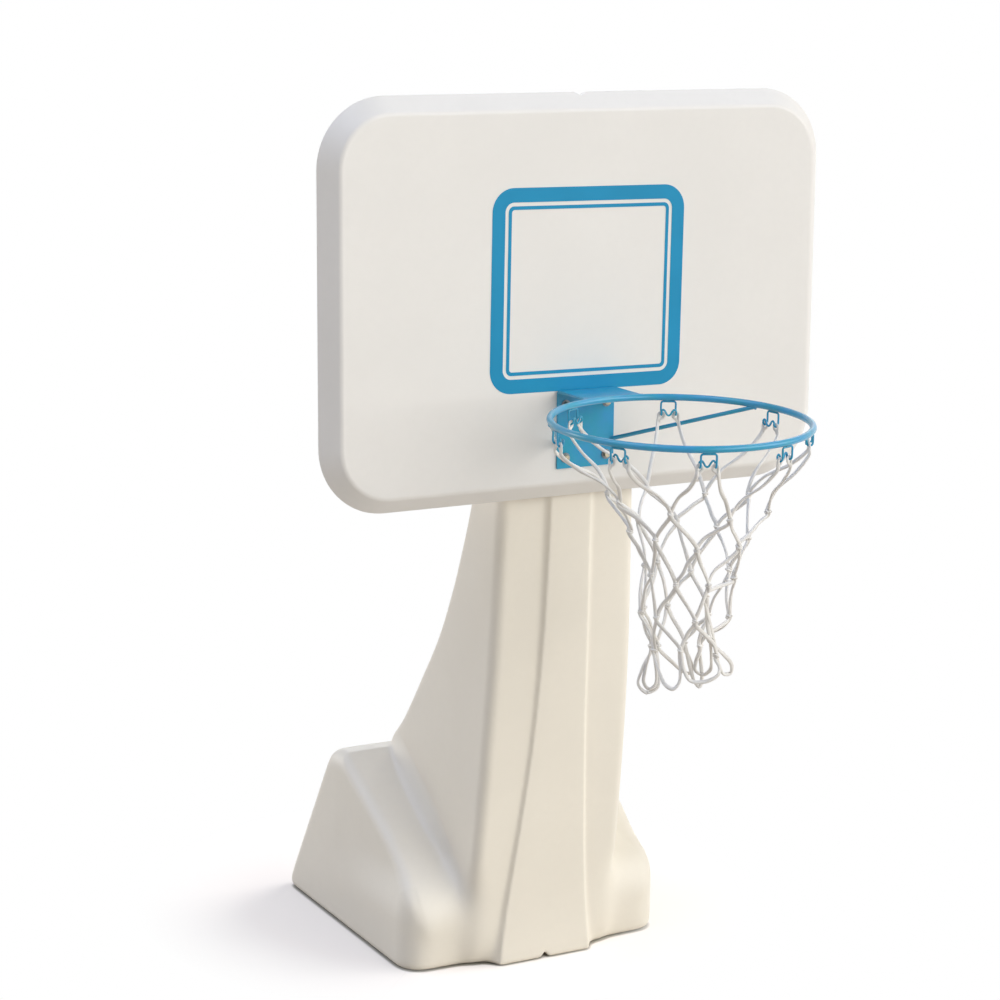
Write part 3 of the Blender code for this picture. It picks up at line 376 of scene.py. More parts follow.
def spline(points, step, closed=False):
    """Evenly spaced points on a smooth curve through the given ones."""
    knots = [np.array(tuple(p)) for p in points]
    if closed:
        knots = [knots[-1], *knots, knots[0], knots[1]]
    else:
        knots = [2 * knots[0] - knots[1], *knots, 2 * knots[-1] - knots[-2]]
    dense = []
    for i in range(len(knots) - 3):
        dense += centripetal(knots[i:i + 4])
    dense.append(knots[-2])
    line = np.array(dense)
    length = np.concatenate(([0.0], np.cumsum(np.linalg.norm(np.diff(line, axis=0), axis=1))))
    number = max(4, round(length[-1] / step))
    places = np.linspace(0.0, length[-1], number + 1)[:number if closed else number + 1]
    return [Vector([np.interp(s, length, line[:, k]) for k in range(3)]) for s in places]


# Meshes

def add_object(name, data):
    item = bpy.data.objects.new(name, data)
    SCENE.collection.objects.link(item)
    return item


def remove(*items):
    for item in items:
        bpy.data.objects.remove(item, do_unlink=True)


def clean(mesh, merge=0.0, place=None):
    """Merge points closer than merge, turn all faces outwards and move the mesh to a place."""
    work = bmesh.new()
    work.from_mesh(mesh)
    if merge:
        bmesh.ops.remove_doubles(work, verts=work.verts, dist=merge)
    bmesh.ops.recalc_face_normals(work, faces=work.faces)
    if place:
        work.transform(place)
    work.to_mesh(mesh)
    work.free()


def form(name, points, faces, merge=0.0):
    """A new object from its points and faces."""
    mesh = bpy.data.meshes.new(name)
    mesh.from_pydata([tuple(p) for p in points], [], faces)
    clean(mesh, merge)
    return add_object(name, mesh)


def skin(rows, count, round_rows=False, closed=True):
    """Faces between rows of points. Each row is a ring where closed, and the rows go round too
    where round_rows."""
    faces = []
    for row in range(rows if round_rows else rows - 1):
        after = (row + 1) % rows
        for i in range(count if closed else count - 1):
            j = (i + 1) % count
            faces.append((row * count + i, row * count + j, after * count + j, after * count + i))
    return faces


def ends(rows, count):
    """Faces that close the first and the last ring."""
    return [tuple(reversed(range(count))), tuple((rows - 1) * count + i for i in range(count))]


def loft(name, rings):
    """Bridge closed rings that have the same number of points, and cap both ends."""
    rows, count = len(rings), len(rings[0])
    return form(name, [p for ring in rings for p in ring], skin(rows, count) + ends(rows, count))


def lathe(name, profile, steps, place, shape=None):
    """Turn a profile of (radius, height) pairs. shape(angle, radius, height) can change a radius."""
    points = []
    for k in range(steps):
        angle = tau * k / steps
        for radius, height in profile:
            reach = shape(angle, radius, height) if shape else radius
            points.append((reach * cos(angle), reach * sin(angle), height))
    faces = skin(steps, len(profile), True, profile[0][0] > 0.0)
    item = form(name, points, faces, 0.000001)
    item.matrix_world = place
    return item


def sweep(name, path, radius, sides, closed=False, relief=None, guide=None):
    """A round tube along evenly spaced points. relief(i, angles) scales its radius. Angle 0 points
    towards guide(point) where a guide is given."""
    line = np.array([tuple(p) for p in path])
    count = len(line)
    ahead = np.roll(line, -1, axis=0) - np.roll(line, 1, axis=0) if closed else np.gradient(line, axis=0)
    ahead /= np.linalg.norm(ahead, axis=1)[:, None]
    tangents = [Vector(a) for a in ahead]
    across = [tangents[0].orthogonal().normalized()]
    for a, b in zip(tangents, tangents[1:]):
        side = a.rotation_difference(b) @ across[-1]
        across.append((side - b * side.dot(b)).normalized())
    twist = 0.0
    if closed:
        last = tangents[-1].rotation_difference(tangents[0]) @ across[-1]
        twist = atan2(last.dot(tangents[0].cross(across[0])), last.dot(across[0]))
    if guide:
        aims = [guide(Vector(point)) for point in line]
        across = [(aim - b * aim.dot(b)).normalized() for aim, b in zip(aims, tangents)]
    angles = tau * np.arange(sides) / sides
    points = np.zeros((count, sides, 3))
    for i in range(count):
        side = np.array(across[i])
        up = np.cross(ahead[i], side)
        turned = angles - twist * i / count
        reach = radius * (relief(i, angles) if relief else 1.0)
        points[i] = (line[i] + (np.cos(turned) * reach)[:, None] * side
                     + (np.sin(turned) * reach)[:, None] * up)
    faces = skin(count, sides, closed) + ([] if closed else ends(count, sides))
    item = form(name, points.reshape(-1, 3), faces)
    item.data.shade_smooth()
    return item


def cylinder(name, radius, start, end, sides=32):
    start = Vector(start)
    end = Vector(end)
    turn = (end - start).to_track_quat("Z", "Y").to_matrix().to_4x4()
    place = Matrix.Translation((start + end) / 2) @ turn
    work = bmesh.new()
    bmesh.ops.create_cone(work, cap_ends=True, segments=sides, radius1=radius, radius2=radius,
                          depth=(end - start).length, matrix=place)
    mesh = bpy.data.meshes.new(name)
    work.to_mesh(mesh)
    work.free()
    return add_object(name, mesh)


def evaluated_mesh(item):
    bpy.context.view_layer.update()
    return bpy.data.meshes.new_from_object(item.evaluated_get(bpy.context.evaluated_depsgraph_get()))


def plate(name, outlines, thickness, place):
    """A flat sheet from filled 2D outlines; a second outline is a hole."""
    data = bpy.data.curves.new(name, "CURVE")
    data.dimensions = "2D"
    data.fill_mode = "BOTH"
    data.extrude = thickness / 2
    for path in outlines:
        line = data.splines.new("POLY")
        line.points.add(len(path) - 1)
        for point, (x, y) in zip(line.points, path):
            point.co = (x, y, 0.0, 1.0)
        line.use_cyclic_u = True
    item = add_object(name, data)
    mesh = evaluated_mesh(item)
    remove(item)
    clean(mesh, 0.000005, place)
    return add_object(name, mesh)


def wedge(name, width, height, base_z, up, start_y, end_y):
    """A V-shaped prism along Y, as wide as width at base_z, whose tip points along up."""
    half = width / 2 * 1.25
    open_z = base_z - up * height * 0.25
    corners = [(-half, open_z), (half, open_z), (0.0, base_z + up * height)]
    return loft(name, [[(x, y, z) for x, z in corners] for y in (start_y, end_y)])


def modify(item, name, kind, **settings):
    step = item.modifiers.new(name, kind)
    for key, value in settings.items():
        setattr(step, key, value)


def settle(item):
    """Apply the object's modifiers to its mesh."""
    mesh = evaluated_mesh(item)
    old = item.data
    item.modifiers.clear()
    item.data = mesh
    bpy.data.meshes.remove(old)
    mesh.name = item.name


def boolean(item, other, operation):
    modify(item, other.name, "BOOLEAN", operation=operation, solver="EXACT", object=other)


def carve(item, cutters=(), joined=(), shared=()):
    """Join and cut with other objects, or keep what is shared with them, and then remove them."""
    for others, operation in ((shared, "INTERSECT"), (joined, "UNION"), (cutters, "DIFFERENCE")):
        for other in others:
            boolean(item, other, operation)
    settle(item)
    remove(*shared, *joined, *cutters)


def bevel(item, width, segments):
    modify(item, "edges", "BEVEL", width=width, segments=segments, limit_method="ANGLE",
           angle_limit=radians(30.0))


def smooth(item, angle_deg=35.0):
    item.data.shade_smooth()
    item.data.set_sharp_from_angle(angle=radians(angle_deg))


# Nodes of materials

class Look:
    """The node tree of a material or a world. Its patterns lie in the object's own coordinates."""

    def __init__(self, owner):
        owner.use_nodes = True
        self.owner = owner
        self.tree = owner.node_tree

    def put(self, socket, value):
        """Link an input to another node's output, or set its number, vector or colour."""
        if isinstance(value, bpy.types.NodeSocket):
            self.tree.links.new(value, socket)
        else:
            socket.default_value = (*value, 1.0) if socket.type == "RGBA" else value

    def add(self, kind, inputs=None, output=0, **settings):
        """Add a node with these inputs, and return one of its outputs where it has any."""
        step = self.tree.nodes.new("ShaderNode" + kind)
        for key, value in settings.items():
            setattr(step, key, value)
        for key, value in (inputs or {}).items():
            self.put(step.inputs[key], value)
        return step.outputs[output] if step.outputs else None

    @cached_property
    def place(self):
        return self.add("TexCoord", output="Object")

    def noise(self, scale, detail=2.0, roughness=0.5):
        return self.add("TexNoise", {"Vector": self.place, "Scale": scale, "Detail": detail,
                                     "Roughness": roughness})

    def spread(self, value, low, high, start=0.0, end=1.0):
        """Map a value from low..high to start..end."""
        return self.add("MapRange", {"Value": value, "From Min": low, "From Max": high,
                                     "To Min": start, "To Max": end})

    def patches(self, scale, low, high, start=0.0, end=1.0, detail=3.0, roughness=0.5):
        """Soft patches from start to end, where the noise goes from low to high."""
        return self.spread(self.noise(scale, detail, roughness), low, high, start, end)

    def mix(self, share, first, second):
        """Mix two colours, each a tuple or a socket."""
        return self.add("Mix", {"Factor": share, 6: first, 7: second}, 2, data_type="RGBA")

    def mix_shaders(self, share, first, second):
        return self.add("MixShader", {0: share, 1: first, 2: second})

    def greater(self, first, second):
        return self.add("Math", {0: first, 1: second}, operation="MAXIMUM")

    def bump(self, height, distance, strength, **below):
        return self.add("Bump", {"Height": height, "Distance": distance, "Strength": strength, **below})

    def done(self, **inputs):
        """Set the shader's inputs by name, with _ for a space, and return the material."""
        shader = self.tree.nodes["Principled BSDF"]
        for key, value in inputs.items():
            self.put(shader.inputs[key.replace("_", " ")], value)
        return self.owner


def new_look(name):
    return Look(bpy.data.materials.new(name))


def srgb(*parts):
    """Linear colour of an sRGB one given in 0 to 255."""
    shares = [part / 255 for part in parts]
    return tuple(share / 12.92 if share <= 0.04045 else ((share + 0.055) / 1.055) ** 2.4
                 for share in shares)


def shade(colour, factor):
    return tuple(min(1.0, c * factor) for c in colour)


def moulded(name, colour, roughness, grain=420.0, relief=0.00010):
    """Moulded plastic: faint flow marks, a fine satin grain and slow unevenness of the wall."""
    look = new_look(name)
    tint = look.mix(look.patches(5.0, 0.35, 0.65), shade(colour, 0.985), shade(colour, 1.01))
    speck = look.patches(60.0, 0.42, 0.62, 0.0, 0.25, 4.0, 0.6)
    wall = look.bump(look.noise(7.0, 1.0), 0.0012, 0.35)
    return look.done(Base_Color=look.mix(speck, tint, shade(colour, 0.97)),
                     Roughness=look.patches(14.0, 0.3, 0.7, roughness - 0.04, roughness + 0.05),
                     Normal=look.bump(look.noise(grain), relief, 0.5, Normal=wall))


def printed(name, colour):
    """Screen-printed ink: a thin even film with a faint mesh grain."""
    look = new_look(name)
    tint = look.mix(look.patches(9.0, 0.35, 0.65), shade(colour, 0.96), shade(colour, 1.05))
    return look.done(Base_Color=tint, Specular_IOR_Level=0.2,
                     Roughness=look.patches(40.0, 0.3, 0.7, 0.36, 0.46),
                     Normal=look.bump(look.noise(900.0, 1.0), 0.00004, 0.4))


def coated(name, colour, roughness=0.35):
    """Gloss coat on steel: fine orange peel and slightly uneven depth of colour."""
    look = new_look(name)
    red, green, blue = colour
    thin = (red * 0.7, green * 1.03, blue * 0.92)
    deep = (red * 1.5, green * 0.96, blue * 1.07)
    peel = look.bump(look.noise(650.0), 0.00008, 0.4)
    return look.done(Base_Color=look.mix(look.patches(18.0, 0.35, 0.65), thin, deep),
                     Specular_IOR_Level=0.1, Coat_Weight=1.0, Coat_Roughness=0.24,
                     Roughness=look.patches(30.0, 0.3, 0.7, roughness - 0.05, roughness + 0.06),
                     Normal=peel, Coat_Normal=peel)


def corded(name, colour):
    """Braided polyester cord: fibres, a little darker where the fibre pattern stands high."""
    look = new_look(name)
    fibre = look.noise(1400.0)
    tint = look.mix(look.patches(25.0, 0.35, 0.65), shade(colour, 0.94), shade(colour, 1.03))
    tint = look.mix(look.spread(fibre, 0.35, 0.65, 0.0, 0.5), tint, shade(colour, 0.86))
    return look.done(Base_Color=tint, Roughness=0.88, Sheen_Weight=0.25, Sheen_Roughness=0.5,
                     Normal=look.bump(fibre, 0.0003, 0.7))


def plated(name, colour, roughness):
    """Plated or turned metal with fine tool marks and a slight tarnish."""
    look = new_look(name)
    tarnish = look.patches(220.0, 0.35, 0.70, detail=4.0, roughness=0.6)
    return look.done(Base_Color=look.mix(tarnish, colour, shade(colour, 0.72)), Metallic=1.0,
                     Roughness=look.patches(500.0, 0.3, 0.7, roughness - 0.06, roughness + 0.12),
                     Normal=look.bump(look.noise(1500.0), 0.00005, 0.5))


def rubber(name, colour):
    look = new_look(name)
    dust = look.patches(90.0, 0.45, 0.75, detail=4.0, roughness=0.6)
    return look.done(Base_Color=look.mix(dust, colour, shade(colour, 2.2)), Roughness=0.75,
                     Normal=look.bump(look.noise(1200.0), 0.00006, 0.5))


MATERIALS = {
    "cream_shell": moulded("cream_polyethylene", srgb(240, 232, 216), 0.46),
    "white_board": moulded("board_polyethylene", srgb(237, 233, 226), 0.44),
    "target_print": printed("target_ink", srgb(30, 144, 187)),
    "blue_steel": coated("rim_gloss_coat", srgb(28, 153, 192)),
    "white_cord": corded("net_cord", srgb(241, 237, 230)),
    "seal_rubber": rubber("seal_rubber", srgb(34, 34, 35)),
    "grey_cap": moulded("cap_plastic", srgb(120, 123, 126), 0.48, 900.0, 0.00006),
    "zinc_steel": plated("zinc_plate", srgb(128, 136, 140), 0.36),
    "brass": plated("yellow_zinc", srgb(196, 184, 158), 0.30),
}


def paint(item, slot):
    """Give an object the material of a slot, and no other."""
    item.data.materials.clear()
    item.data.materials.append(MATERIALS[slot])


def dress(item, slot, *nodes, body="hoop"):
    """The piece gets its material, rides on a body, takes its slot, and stands for the CAD nodes."""
    paint(item, slot)
    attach(item, body)
    if nodes:
        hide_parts(*nodes)


# Base

def foot_form():
    """The foot: its side outline drawn across its width, each edge rounded by its own radius."""
    ridge = FOOT_RIDGE_RADIUS
    corner = FOOT_CORNER_RADIUS
    corners = [(FOOT_FRONT_Y, 0.0, 0.0, 0.0), (FOOT_REAR_Y, 0.0, 0.0, ridge),
               (FOOT_REAR_TOP_Y, FOOT_TOP_Z, FOOT_REAR_TOP_RADIUS, FOOT_TOP_SIDE_RADIUS),
               (FOOT_TOP_FRONT_Y, FOOT_TOP_Z, 0.0, ridge), (WING_KNEE_Y, WING_KNEE_Z, 0.0, ridge),
               (FOOT_FRONT_Y, FOOT_LIP_Z, corner, corner)]
    lip = len(corners) - 1
    stations = [(-x, out) for x, out in LIP_STATIONS] + [(x, out) for x, out in reversed(LIP_STATIONS)]
    item = loft("foot_form", [[(x, y - (out if i == lip else 0.0), z)
                               for i, (y, z, _, _) in enumerate(corners)] for x, out in stations])
    weights = item.data.attributes.new("bevel_weight_edge", "FLOAT", "EDGE")
    for edge, weight in zip(item.data.edges, weights.data):
        first, second = sorted(i % len(corners) for i in edge.vertices)
        if first == second:
            radius = corners[first][2]
        elif all(0 < i // len(corners) < len(stations) - 1 for i in edge.vertices):
            radius = 0.0
        else:
            radius = corners[second if (first, second) == (0, lip) else first][3]
        weight.value = radius / corner
    modify(item, "rounded_edges", "BEVEL", width=corner, segments=10, limit_method="WEIGHT")
    settle(item)
    carve(item, shared=(foot_mask(),))
    return item


def mask_ring(z, inset):
    """One level of the foot's mask. Its front corners lean with the foot's front face."""
    (outer, level), (inner, proud) = LIP_STATIONS[:2]
    lean = (proud - level) / (outer - inner) * z / FOOT_LIP_Z
    half = FOOT_HALF_WIDTH - inset
    front = FOOT_FRONT_Y + inset
    share = max(0.0, 1.0 - max(0.0, z) / FOOT_REAR_LOW_RADIUS)
    under = inset
    if inset >= 0.0:
        under = max(inset, FOOT_REAR_LOW_RADIUS * (1.0 - sqrt(1.0 - share * share)))
    rear = FOOT_REAR_Y - under - z * (FOOT_REAR_Y - FOOT_REAR_TOP_Y) / FOOT_TOP_Z
    radius = FOOT_CORNER_RADIUS - inset
    corner = arc(half - radius, front + radius, radius, -90, 0, 10)
    side = [(half - radius - 0.002, front - 2 * FOOT_MASK_MARGIN)]
    side += [(x, y - lean * (half - x)) for x, y in corner]
    radius = FOOT_REAR_CORNER_RADIUS - inset
    return mirrored(side + arc(half - radius, rear - radius, radius, 0, 90, 8), z)


def foot_mask():
    """A form that rounds the foot's upright corners and low edges: the foot is what both share."""
    low = FOOT_LOW_RADIUS
    levels = [(-0.002, low)] + [(low * (1 - cos(a)), low * (1 - sin(a))) for a in quarter_turns()]
    levels += [(low + (FOOT_REAR_LOW_RADIUS - low) * k / 4, 0.0) for k in range(1, 5)]
    levels += [(FOOT_MASK_TOP, 0.0), (FOOT_MASK_TOP + 0.001, -FOOT_MASK_MARGIN),
               (FOOT_TOP_Z + 0.05, -FOOT_MASK_MARGIN)]
    return loft("foot_mask", [mask_ring(*level) for level in levels])


def column_ring(z, at, back):
    """One level of the column at height z, with the section that it has at height at."""
    seat = clamp((at - BOARD_LOW.z) / SEAT_START_RISE)
    rib = along(RIB_FRONT, at) * (1 - seat) + (BOARD_BACK_Y - BOARD_FACE_Y) * seat
    proud = along(RIB_PROUD, at) * (1 - seat)
    rib_y = BOARD_FACE_Y + rib + SEAT_GAP + back
    face_y = rib_y + max(proud, RIB_LEAST_PROUD)
    rib_half = along(RIB_HALF_WIDTH, at) - back
    half = along(COLUMN_HALF_WIDTH, at) - back
    rear_y = BOARD_FACE_Y + along(COLUMN_REAR, at) - back
    soft = min(RIB_CORNER_RADIUS, (face_y - rib_y) / 2)
    side = arc(rib_half - soft, rib_y + soft, soft, -90, 0, 5)
    side.append((rib_half + along(RIB_FLARE, at), face_y))
    front, rear = COLUMN_CORNER_RADIUS, COLUMN_REAR_RADIUS
    side += arc(half - front, face_y + front, front, -90, 0, 10)
    side += arc(half - rear, rear_y - rear, rear, 0, 90, 10)
    return mirrored(side, z)


def column_form():
    low, top = COLUMN_LOW_EDGE, COLUMN_TOP_EDGE
    flat_end = COLUMN_TOP_Z - top
    count = round(flat_end / LEVEL_STEP)
    levels = [(low * (1 - cos(a)), low * (1 - sin(a))) for a in quarter_turns(0, 75)]
    levels += [(flat_end * k / count, 0.0) for k in range(1, count + 1)]
    levels = [(z, z, back) for z, back in levels]
    levels += [(flat_end + top * sin(a), flat_end, top * (1 - cos(a))) for a in quarter_turns(15)]
    return loft("base_moulding", [column_ring(*level) for level in levels])


def wing_top(y):
    """Height of the foot's top at y."""
    line = ((FOOT_FRONT_Y, FOOT_LIP_Z), (WING_KNEE_Y, WING_KNEE_Z), (FOOT_TOP_FRONT_Y, FOOT_TOP_Z),
            (FOOT_REAR_TOP_Y, FOOT_TOP_Z), (FOOT_REAR_Y, 0.0))
    return float(np.interp(y, *zip(*line)))


def fillet_weight(point):
    """How near a point is to the inner corner between the column and the foot."""
    beside = abs(abs(point.x) - along(COLUMN_HALF_WIDTH, point.z))
    above = abs(point.z - wing_top(point.y))
    return 1.0 - max(beside, above) / FILLET_REACH


def near(point, place, reach):
    """1 at a place given for the right side, on either side, and 0 past its reach along any axis."""
    found = (abs(point.x), point.y, point.z)
    return 1.0 - max(abs(at - middle) / size for at, middle, size in zip(found, place, reach))


def blend_weight(point):
    """How near a point is to the place where the column's front corner runs out into the foot's lip."""
    return 1.4 * near(point, (0.180, -0.315, 0.100), (0.080, 0.085, 0.135))


def corner_weight(point):
    """How near a point is to one of the foot's outer corners."""
    rear_top = near(point, (FOOT_HALF_WIDTH, FOOT_REAR_TOP_Y, FOOT_TOP_Z), (0.050, 0.060, 0.055))
    rear_low = near(point, (FOOT_HALF_WIDTH, FOOT_REAR_Y, 0.0), (0.055, 0.060, 0.060))
    front_low = near(point, (FOOT_HALF_WIDTH, FOOT_FRONT_Y, 0.050), (0.070, 0.070, 0.090))
    return 1.5 * max(rear_top, rear_low, front_low)


def side_shift(point):
    """How far a point of the base moves outwards, for the drawn-in sides and the column's flare."""
    reach = abs(point.x)
    wall = along(COLUMN_HALF_WIDTH, point.z)
    shift = (-along(SIDE_DRAW, point.y) * step_up(point.z, *SIDE_DRAW_HEIGHTS)
             * step_up(reach, *SIDE_DRAW_WIDTHS))
    above = max(0.0, (point.z - wing_top(point.y)) / FLARE_RISE)
    start, full = [wall - inwards for inwards in FLARE_INNER]
    if above < 1.0 and reach > start:
        inner = step_up(reach, start, full)
        outer = clamp((FLARE_REACH - reach) / (FLARE_REACH - wall))
        shift += along(FLARE, point.y) * (1.0 - above) ** FLARE_POWER * min(inner, outer)
    return shift


def soften(item, name, weigh, steps):
    """Smooth an object's mesh where weigh(point) is above 0."""
    group = item.vertex_groups.new(name=name)
    for vertex in item.data.vertices:
        weight = step_up(weigh(vertex.co), 0.0, 1.0)
        if weight > 0.0:
            group.add([vertex.index], weight, "REPLACE")
    modify(item, name, "SMOOTH", factor=0.6, iterations=steps, vertex_group=name)
    settle(item)
    item.vertex_groups.clear()


def make_base():
    base = column_form()
    rib_foot_y = BOARD_FACE_Y + RIB_FRONT[0][1]
    notch = wedge("notch_cut", NOTCH_WIDTH, NOTCH_HEIGHT, 0.0, 1.0, rib_foot_y - 2 * CUT_MARGIN,
                  rib_foot_y + NOTCH_LENGTH)
    drain = cylinder("drain_cut", DRAIN_BORE_RADIUS, DRAIN_PLACE - REAR_NORMAL * (DRAIN_SHANK + 0.004),
                     DRAIN_PLACE + REAR_NORMAL * 2 * CUT_MARGIN, 48)
    carve(base, (notch, drain), (foot_form(),))
    modify(base, "even_skin", "REMESH", mode="VOXEL", voxel_size=BASE_VOXEL)
    modify(base, "soften", "SMOOTH", factor=0.5, iterations=BASE_SMOOTH_STEPS)
    settle(base)
    soften(base, "inner_corner", fillet_weight, FILLET_STEPS)
    soften(base, "front_blend", blend_weight, BLEND_STEPS)
    soften(base, "outer_corner", corner_weight, CORNER_STEPS)
    for vertex in base.data.vertices:
        shift = side_shift(vertex.co)
        vertex.co.x += shift if vertex.co.x > 0.0 else -shift
    base.data.shade_smooth()
    dress(base, "cream_shell", "base_shell")


def make_neck():
    """The filling neck with its thread of three turns."""
    foot = COLUMN_TOP_Z
    lip = NECK_LIP_Z
    inner = NECK_INSIDE
    profile = [(NECK_RADIUS + 0.004, foot - 0.001), (NECK_RADIUS + 0.0006, foot + 0.0012)]
    for k in range(37):
        rise = k / 36
        ridge = max(0.0, sin(tau * 3 * rise)) ** 2 * NECK_THREAD_DEPTH
        profile.append((NECK_RADIUS - 0.0004 + ridge, foot + 0.0015 + rise * (NECK_HEIGHT - 0.003)))
    profile += [(NECK_RADIUS - 0.0012, lip), (inner + 0.0008, lip), (inner, lip - 0.0008),
                (inner, foot - 0.001)]
    neck = lathe("fill_neck", profile, 72, Matrix.Translation((0, NECK_Y, 0)))
    smooth(neck)
    dress(neck, "cream_shell", "base_shell")


# Backboard and its print

def board_ring(y, inset):
    size = BOARD_HIGH - BOARD_LOW
    path = rounded_rectangle(size.x - 2 * inset, size.z - 2 * inset, BOARD_CORNER_RADIUS - inset)
    return [(x, y, (BOARD_LOW.z + BOARD_HIGH.z) / 2 + z) for x, z in path]


def make_board():
    front = BOARD_FACE_Y
    back = BOARD_BACK_Y
    back_edge = BOARD_BACK_EDGE_RADIUS
    face_turn = pi / 2 - atan2(BOARD_DRAFT, back - front - back_edge)
    soft = BOARD_FACE_EDGE_RADIUS
    face_inset = BOARD_DRAFT + soft * sin(face_turn) / (1 + cos(face_turn))
    rings = [board_ring(front, face_inset + BOARD_RIM_INSET)]
    for k in range(BOARD_EDGE_STEPS + 1):
        a = face_turn * k / BOARD_EDGE_STEPS
        rings.append(board_ring(front + soft * (1 - cos(a)), face_inset - soft * sin(a)))
    rings += [board_ring(back - back_edge * (1 - sin(a)), back_edge * (1 - cos(a)))
              for a in quarter_turns()]
    rings.append(board_ring(back, back_edge + BOARD_RIM_INSET))
    board = loft("board_moulding", rings)
    notch = wedge("board_notch", BOARD_NOTCH_WIDTH, BOARD_NOTCH_DEPTH, BOARD_HIGH.z, -1.0,
                  back - BOARD_NOTCH_LENGTH, back + CUT_MARGIN)
    vent_z = BOARD_LOW.z + BOARD_VENT_RISE
    vent = cylinder("board_vent", BOARD_VENT_RADIUS, (BOARD_VENT_X, back - 2 * CUT_MARGIN, vent_z),
                    (BOARD_VENT_X, back + CUT_MARGIN, vent_z))
    carve(board, (notch, vent))
    smooth(board, 40.0)
    dress(board, "white_board", "backboard")


def make_target():
    middle = RIM_HEIGHT + TARGET_ABOVE_RIM + TARGET_HEIGHT / 2
    place = (Matrix.Translation((TARGET_SIDE_SHIFT, BOARD_FACE_Y - INK_THICKNESS / 2, middle))
             @ Matrix.Rotation(radians(TARGET_TURN_DEG), 4, "Y") @ FACING_FRONT)
    for name, start, width in (("target_band", 0.0, TARGET_BAND),
                               ("target_line", TARGET_BAND + TARGET_SPACE, TARGET_LINE)):
        outlines = [rounded_rectangle(TARGET_WIDTH - 2 * inwards, TARGET_HEIGHT - 2 * inwards,
                                      max(TARGET_CORNER_RADIUS - inwards, TARGET_LEAST_RADIUS), 16)
                    for inwards in (start, start + width)]
        dress(plate(f"{name}_ink", outlines, INK_THICKNESS, place), "target_print", name)


# Rim

def rim_point(angle_deg, out=0.0, up=0.0):
    """A point by the ring's centre line, at an angle from the front."""
    angle = radians(angle_deg)
    reach = RIM_RADIUS + out
    return RIM_FRAME @ Vector((reach * sin(angle), -reach * cos(angle), up))


def make_ring():
    path = [rim_point(360 * k / 240) for k in range(240)]
    dress(sweep("ring_rod", path, RIM_ROD_RADIUS, 28, closed=True), "blue_steel", "rim_ring")


def make_bracket():
    """A steel sheet bent to an L: the web lies on the board, the top plate meets the ring."""
    top = BRACKET_HIGH.z
    bottom = BRACKET_LOW.z
    outer = BRACKET_BEND_RADIUS
    bend = (WEB_BACK_Y - outer, top - outer)
    reach = RIM_CENTRE.y + sqrt(RIM_RADIUS ** 2 - BRACKET_WIDTH ** 2 / 4)
    path = [(reach, top), *reversed(arc(*bend, outer, 0, 90, 12)), (WEB_BACK_Y, bottom),
            (WEB_FRONT_Y, bottom), *arc(*bend, outer - BRACKET_SHEET, 0, 90, 10),
            (reach, top - BRACKET_SHEET)]
    turn = Matrix(((0, 0, 1, 0), (1, 0, 0, 0), (0, 1, 0, 0), (0, 0, 0, 1)))
    bracket = plate("bracket_sheet", [path], BRACKET_WIDTH, turn)
    rise = Vector((0.0, 0.0, 0.03))
    cut_radius = RIM_RADIUS + RIM_ROD_RADIUS * 0.8
    cutters = [cylinder("ring_cut", cut_radius, RIM_CENTRE - rise, RIM_CENTRE + rise, 256)]
    for i, (x, z) in enumerate(BOLT_PLACES):
        cutters.append(cylinder(f"bore_{i}", BOLT_BORE_RADIUS, (x, WEB_FRONT_Y - CUT_MARGIN, z),
                                (x, WEB_BACK_Y + CUT_MARGIN, z)))
    carve(bracket, cutters)
    bevel(bracket, BRACKET_EDGE, 2)
    bracket.data.shade_smooth()
    modify(bracket, "level_normals", "WEIGHTED_NORMAL", weight=100)
    settle(bracket)
    dress(bracket, "blue_steel", "rim_bracket")


def brace_ends(side):
    """A brace's ends: on the web, and under the ring."""
    start = Vector((side * (BRACKET_WIDTH / 2 - BRACE_EDGE_MARGIN), WEB_FRONT_Y + 0.0005,
                    RIM_HEIGHT - BRACE_DROP))
    return start, rim_point(side * BRACE_RIM_ANGLE_DEG, 0.0, -BRACE_RADIUS)


def make_braces():
    for name, side in (("brace_left", -1), ("brace_right", 1)):
        start, end = brace_ends(side)
        brace = sweep(f"{name}_rod", [start.lerp(end, k / 12) for k in range(13)], BRACE_RADIUS, 20)
        smooth(brace)
        dress(brace, "blue_steel", name)


def hook_path():
    """One wire: a bar under the rim, two legs, a curl at each foot and a V between the curls."""
    top = -(RIM_ROD_RADIUS + HOOK_WIRE_RADIUS)
    bottom = top - SEAT_GAP - HOOK_HEIGHT
    wide = HOOK_HALF_WIDTH
    soft = HOOK_CORNER_RADIUS
    curl = HOOK_CURL_REACH / 2
    arm_top = bottom + HOOK_ARM_TOP
    bend = HOOK_BEND
    half = [(x, 0.0, z) for x, z in reversed(arc(wide - soft, top - soft, soft, 0, 90, 4))]
    half += [(wide, curl + y, z) for y, z in arc(0.0, bottom + curl, curl, 180, 360, 8)]
    arm = ((wide, arm_top - bend), (wide - bend, arm_top), (wide - 2 * bend, arm_top - bend / 2),
           (bend, bottom + bend / 2))
    half += [(x, 2 * curl, z) for x, z in arm]
    other = [(-x, y, z) for x, y, z in reversed(half)]
    return [(0.0, 0.0, top), *half, (0.0, 2 * curl, bottom), *other]


def hook_frame(angle_deg):
    """Frame of a hook: its X along the rim, its Y towards the rim's middle."""
    angle = radians(angle_deg)
    outward = Vector((sin(angle), -cos(angle), 0.0))
    tangent = Vector((cos(angle), sin(angle), 0.0))
    turn = Matrix((tangent, -outward, (0, 0, 1))).transposed().to_4x4()
    return RIM_FRAME @ Matrix.Translation(outward * RIM_RADIUS) @ turn


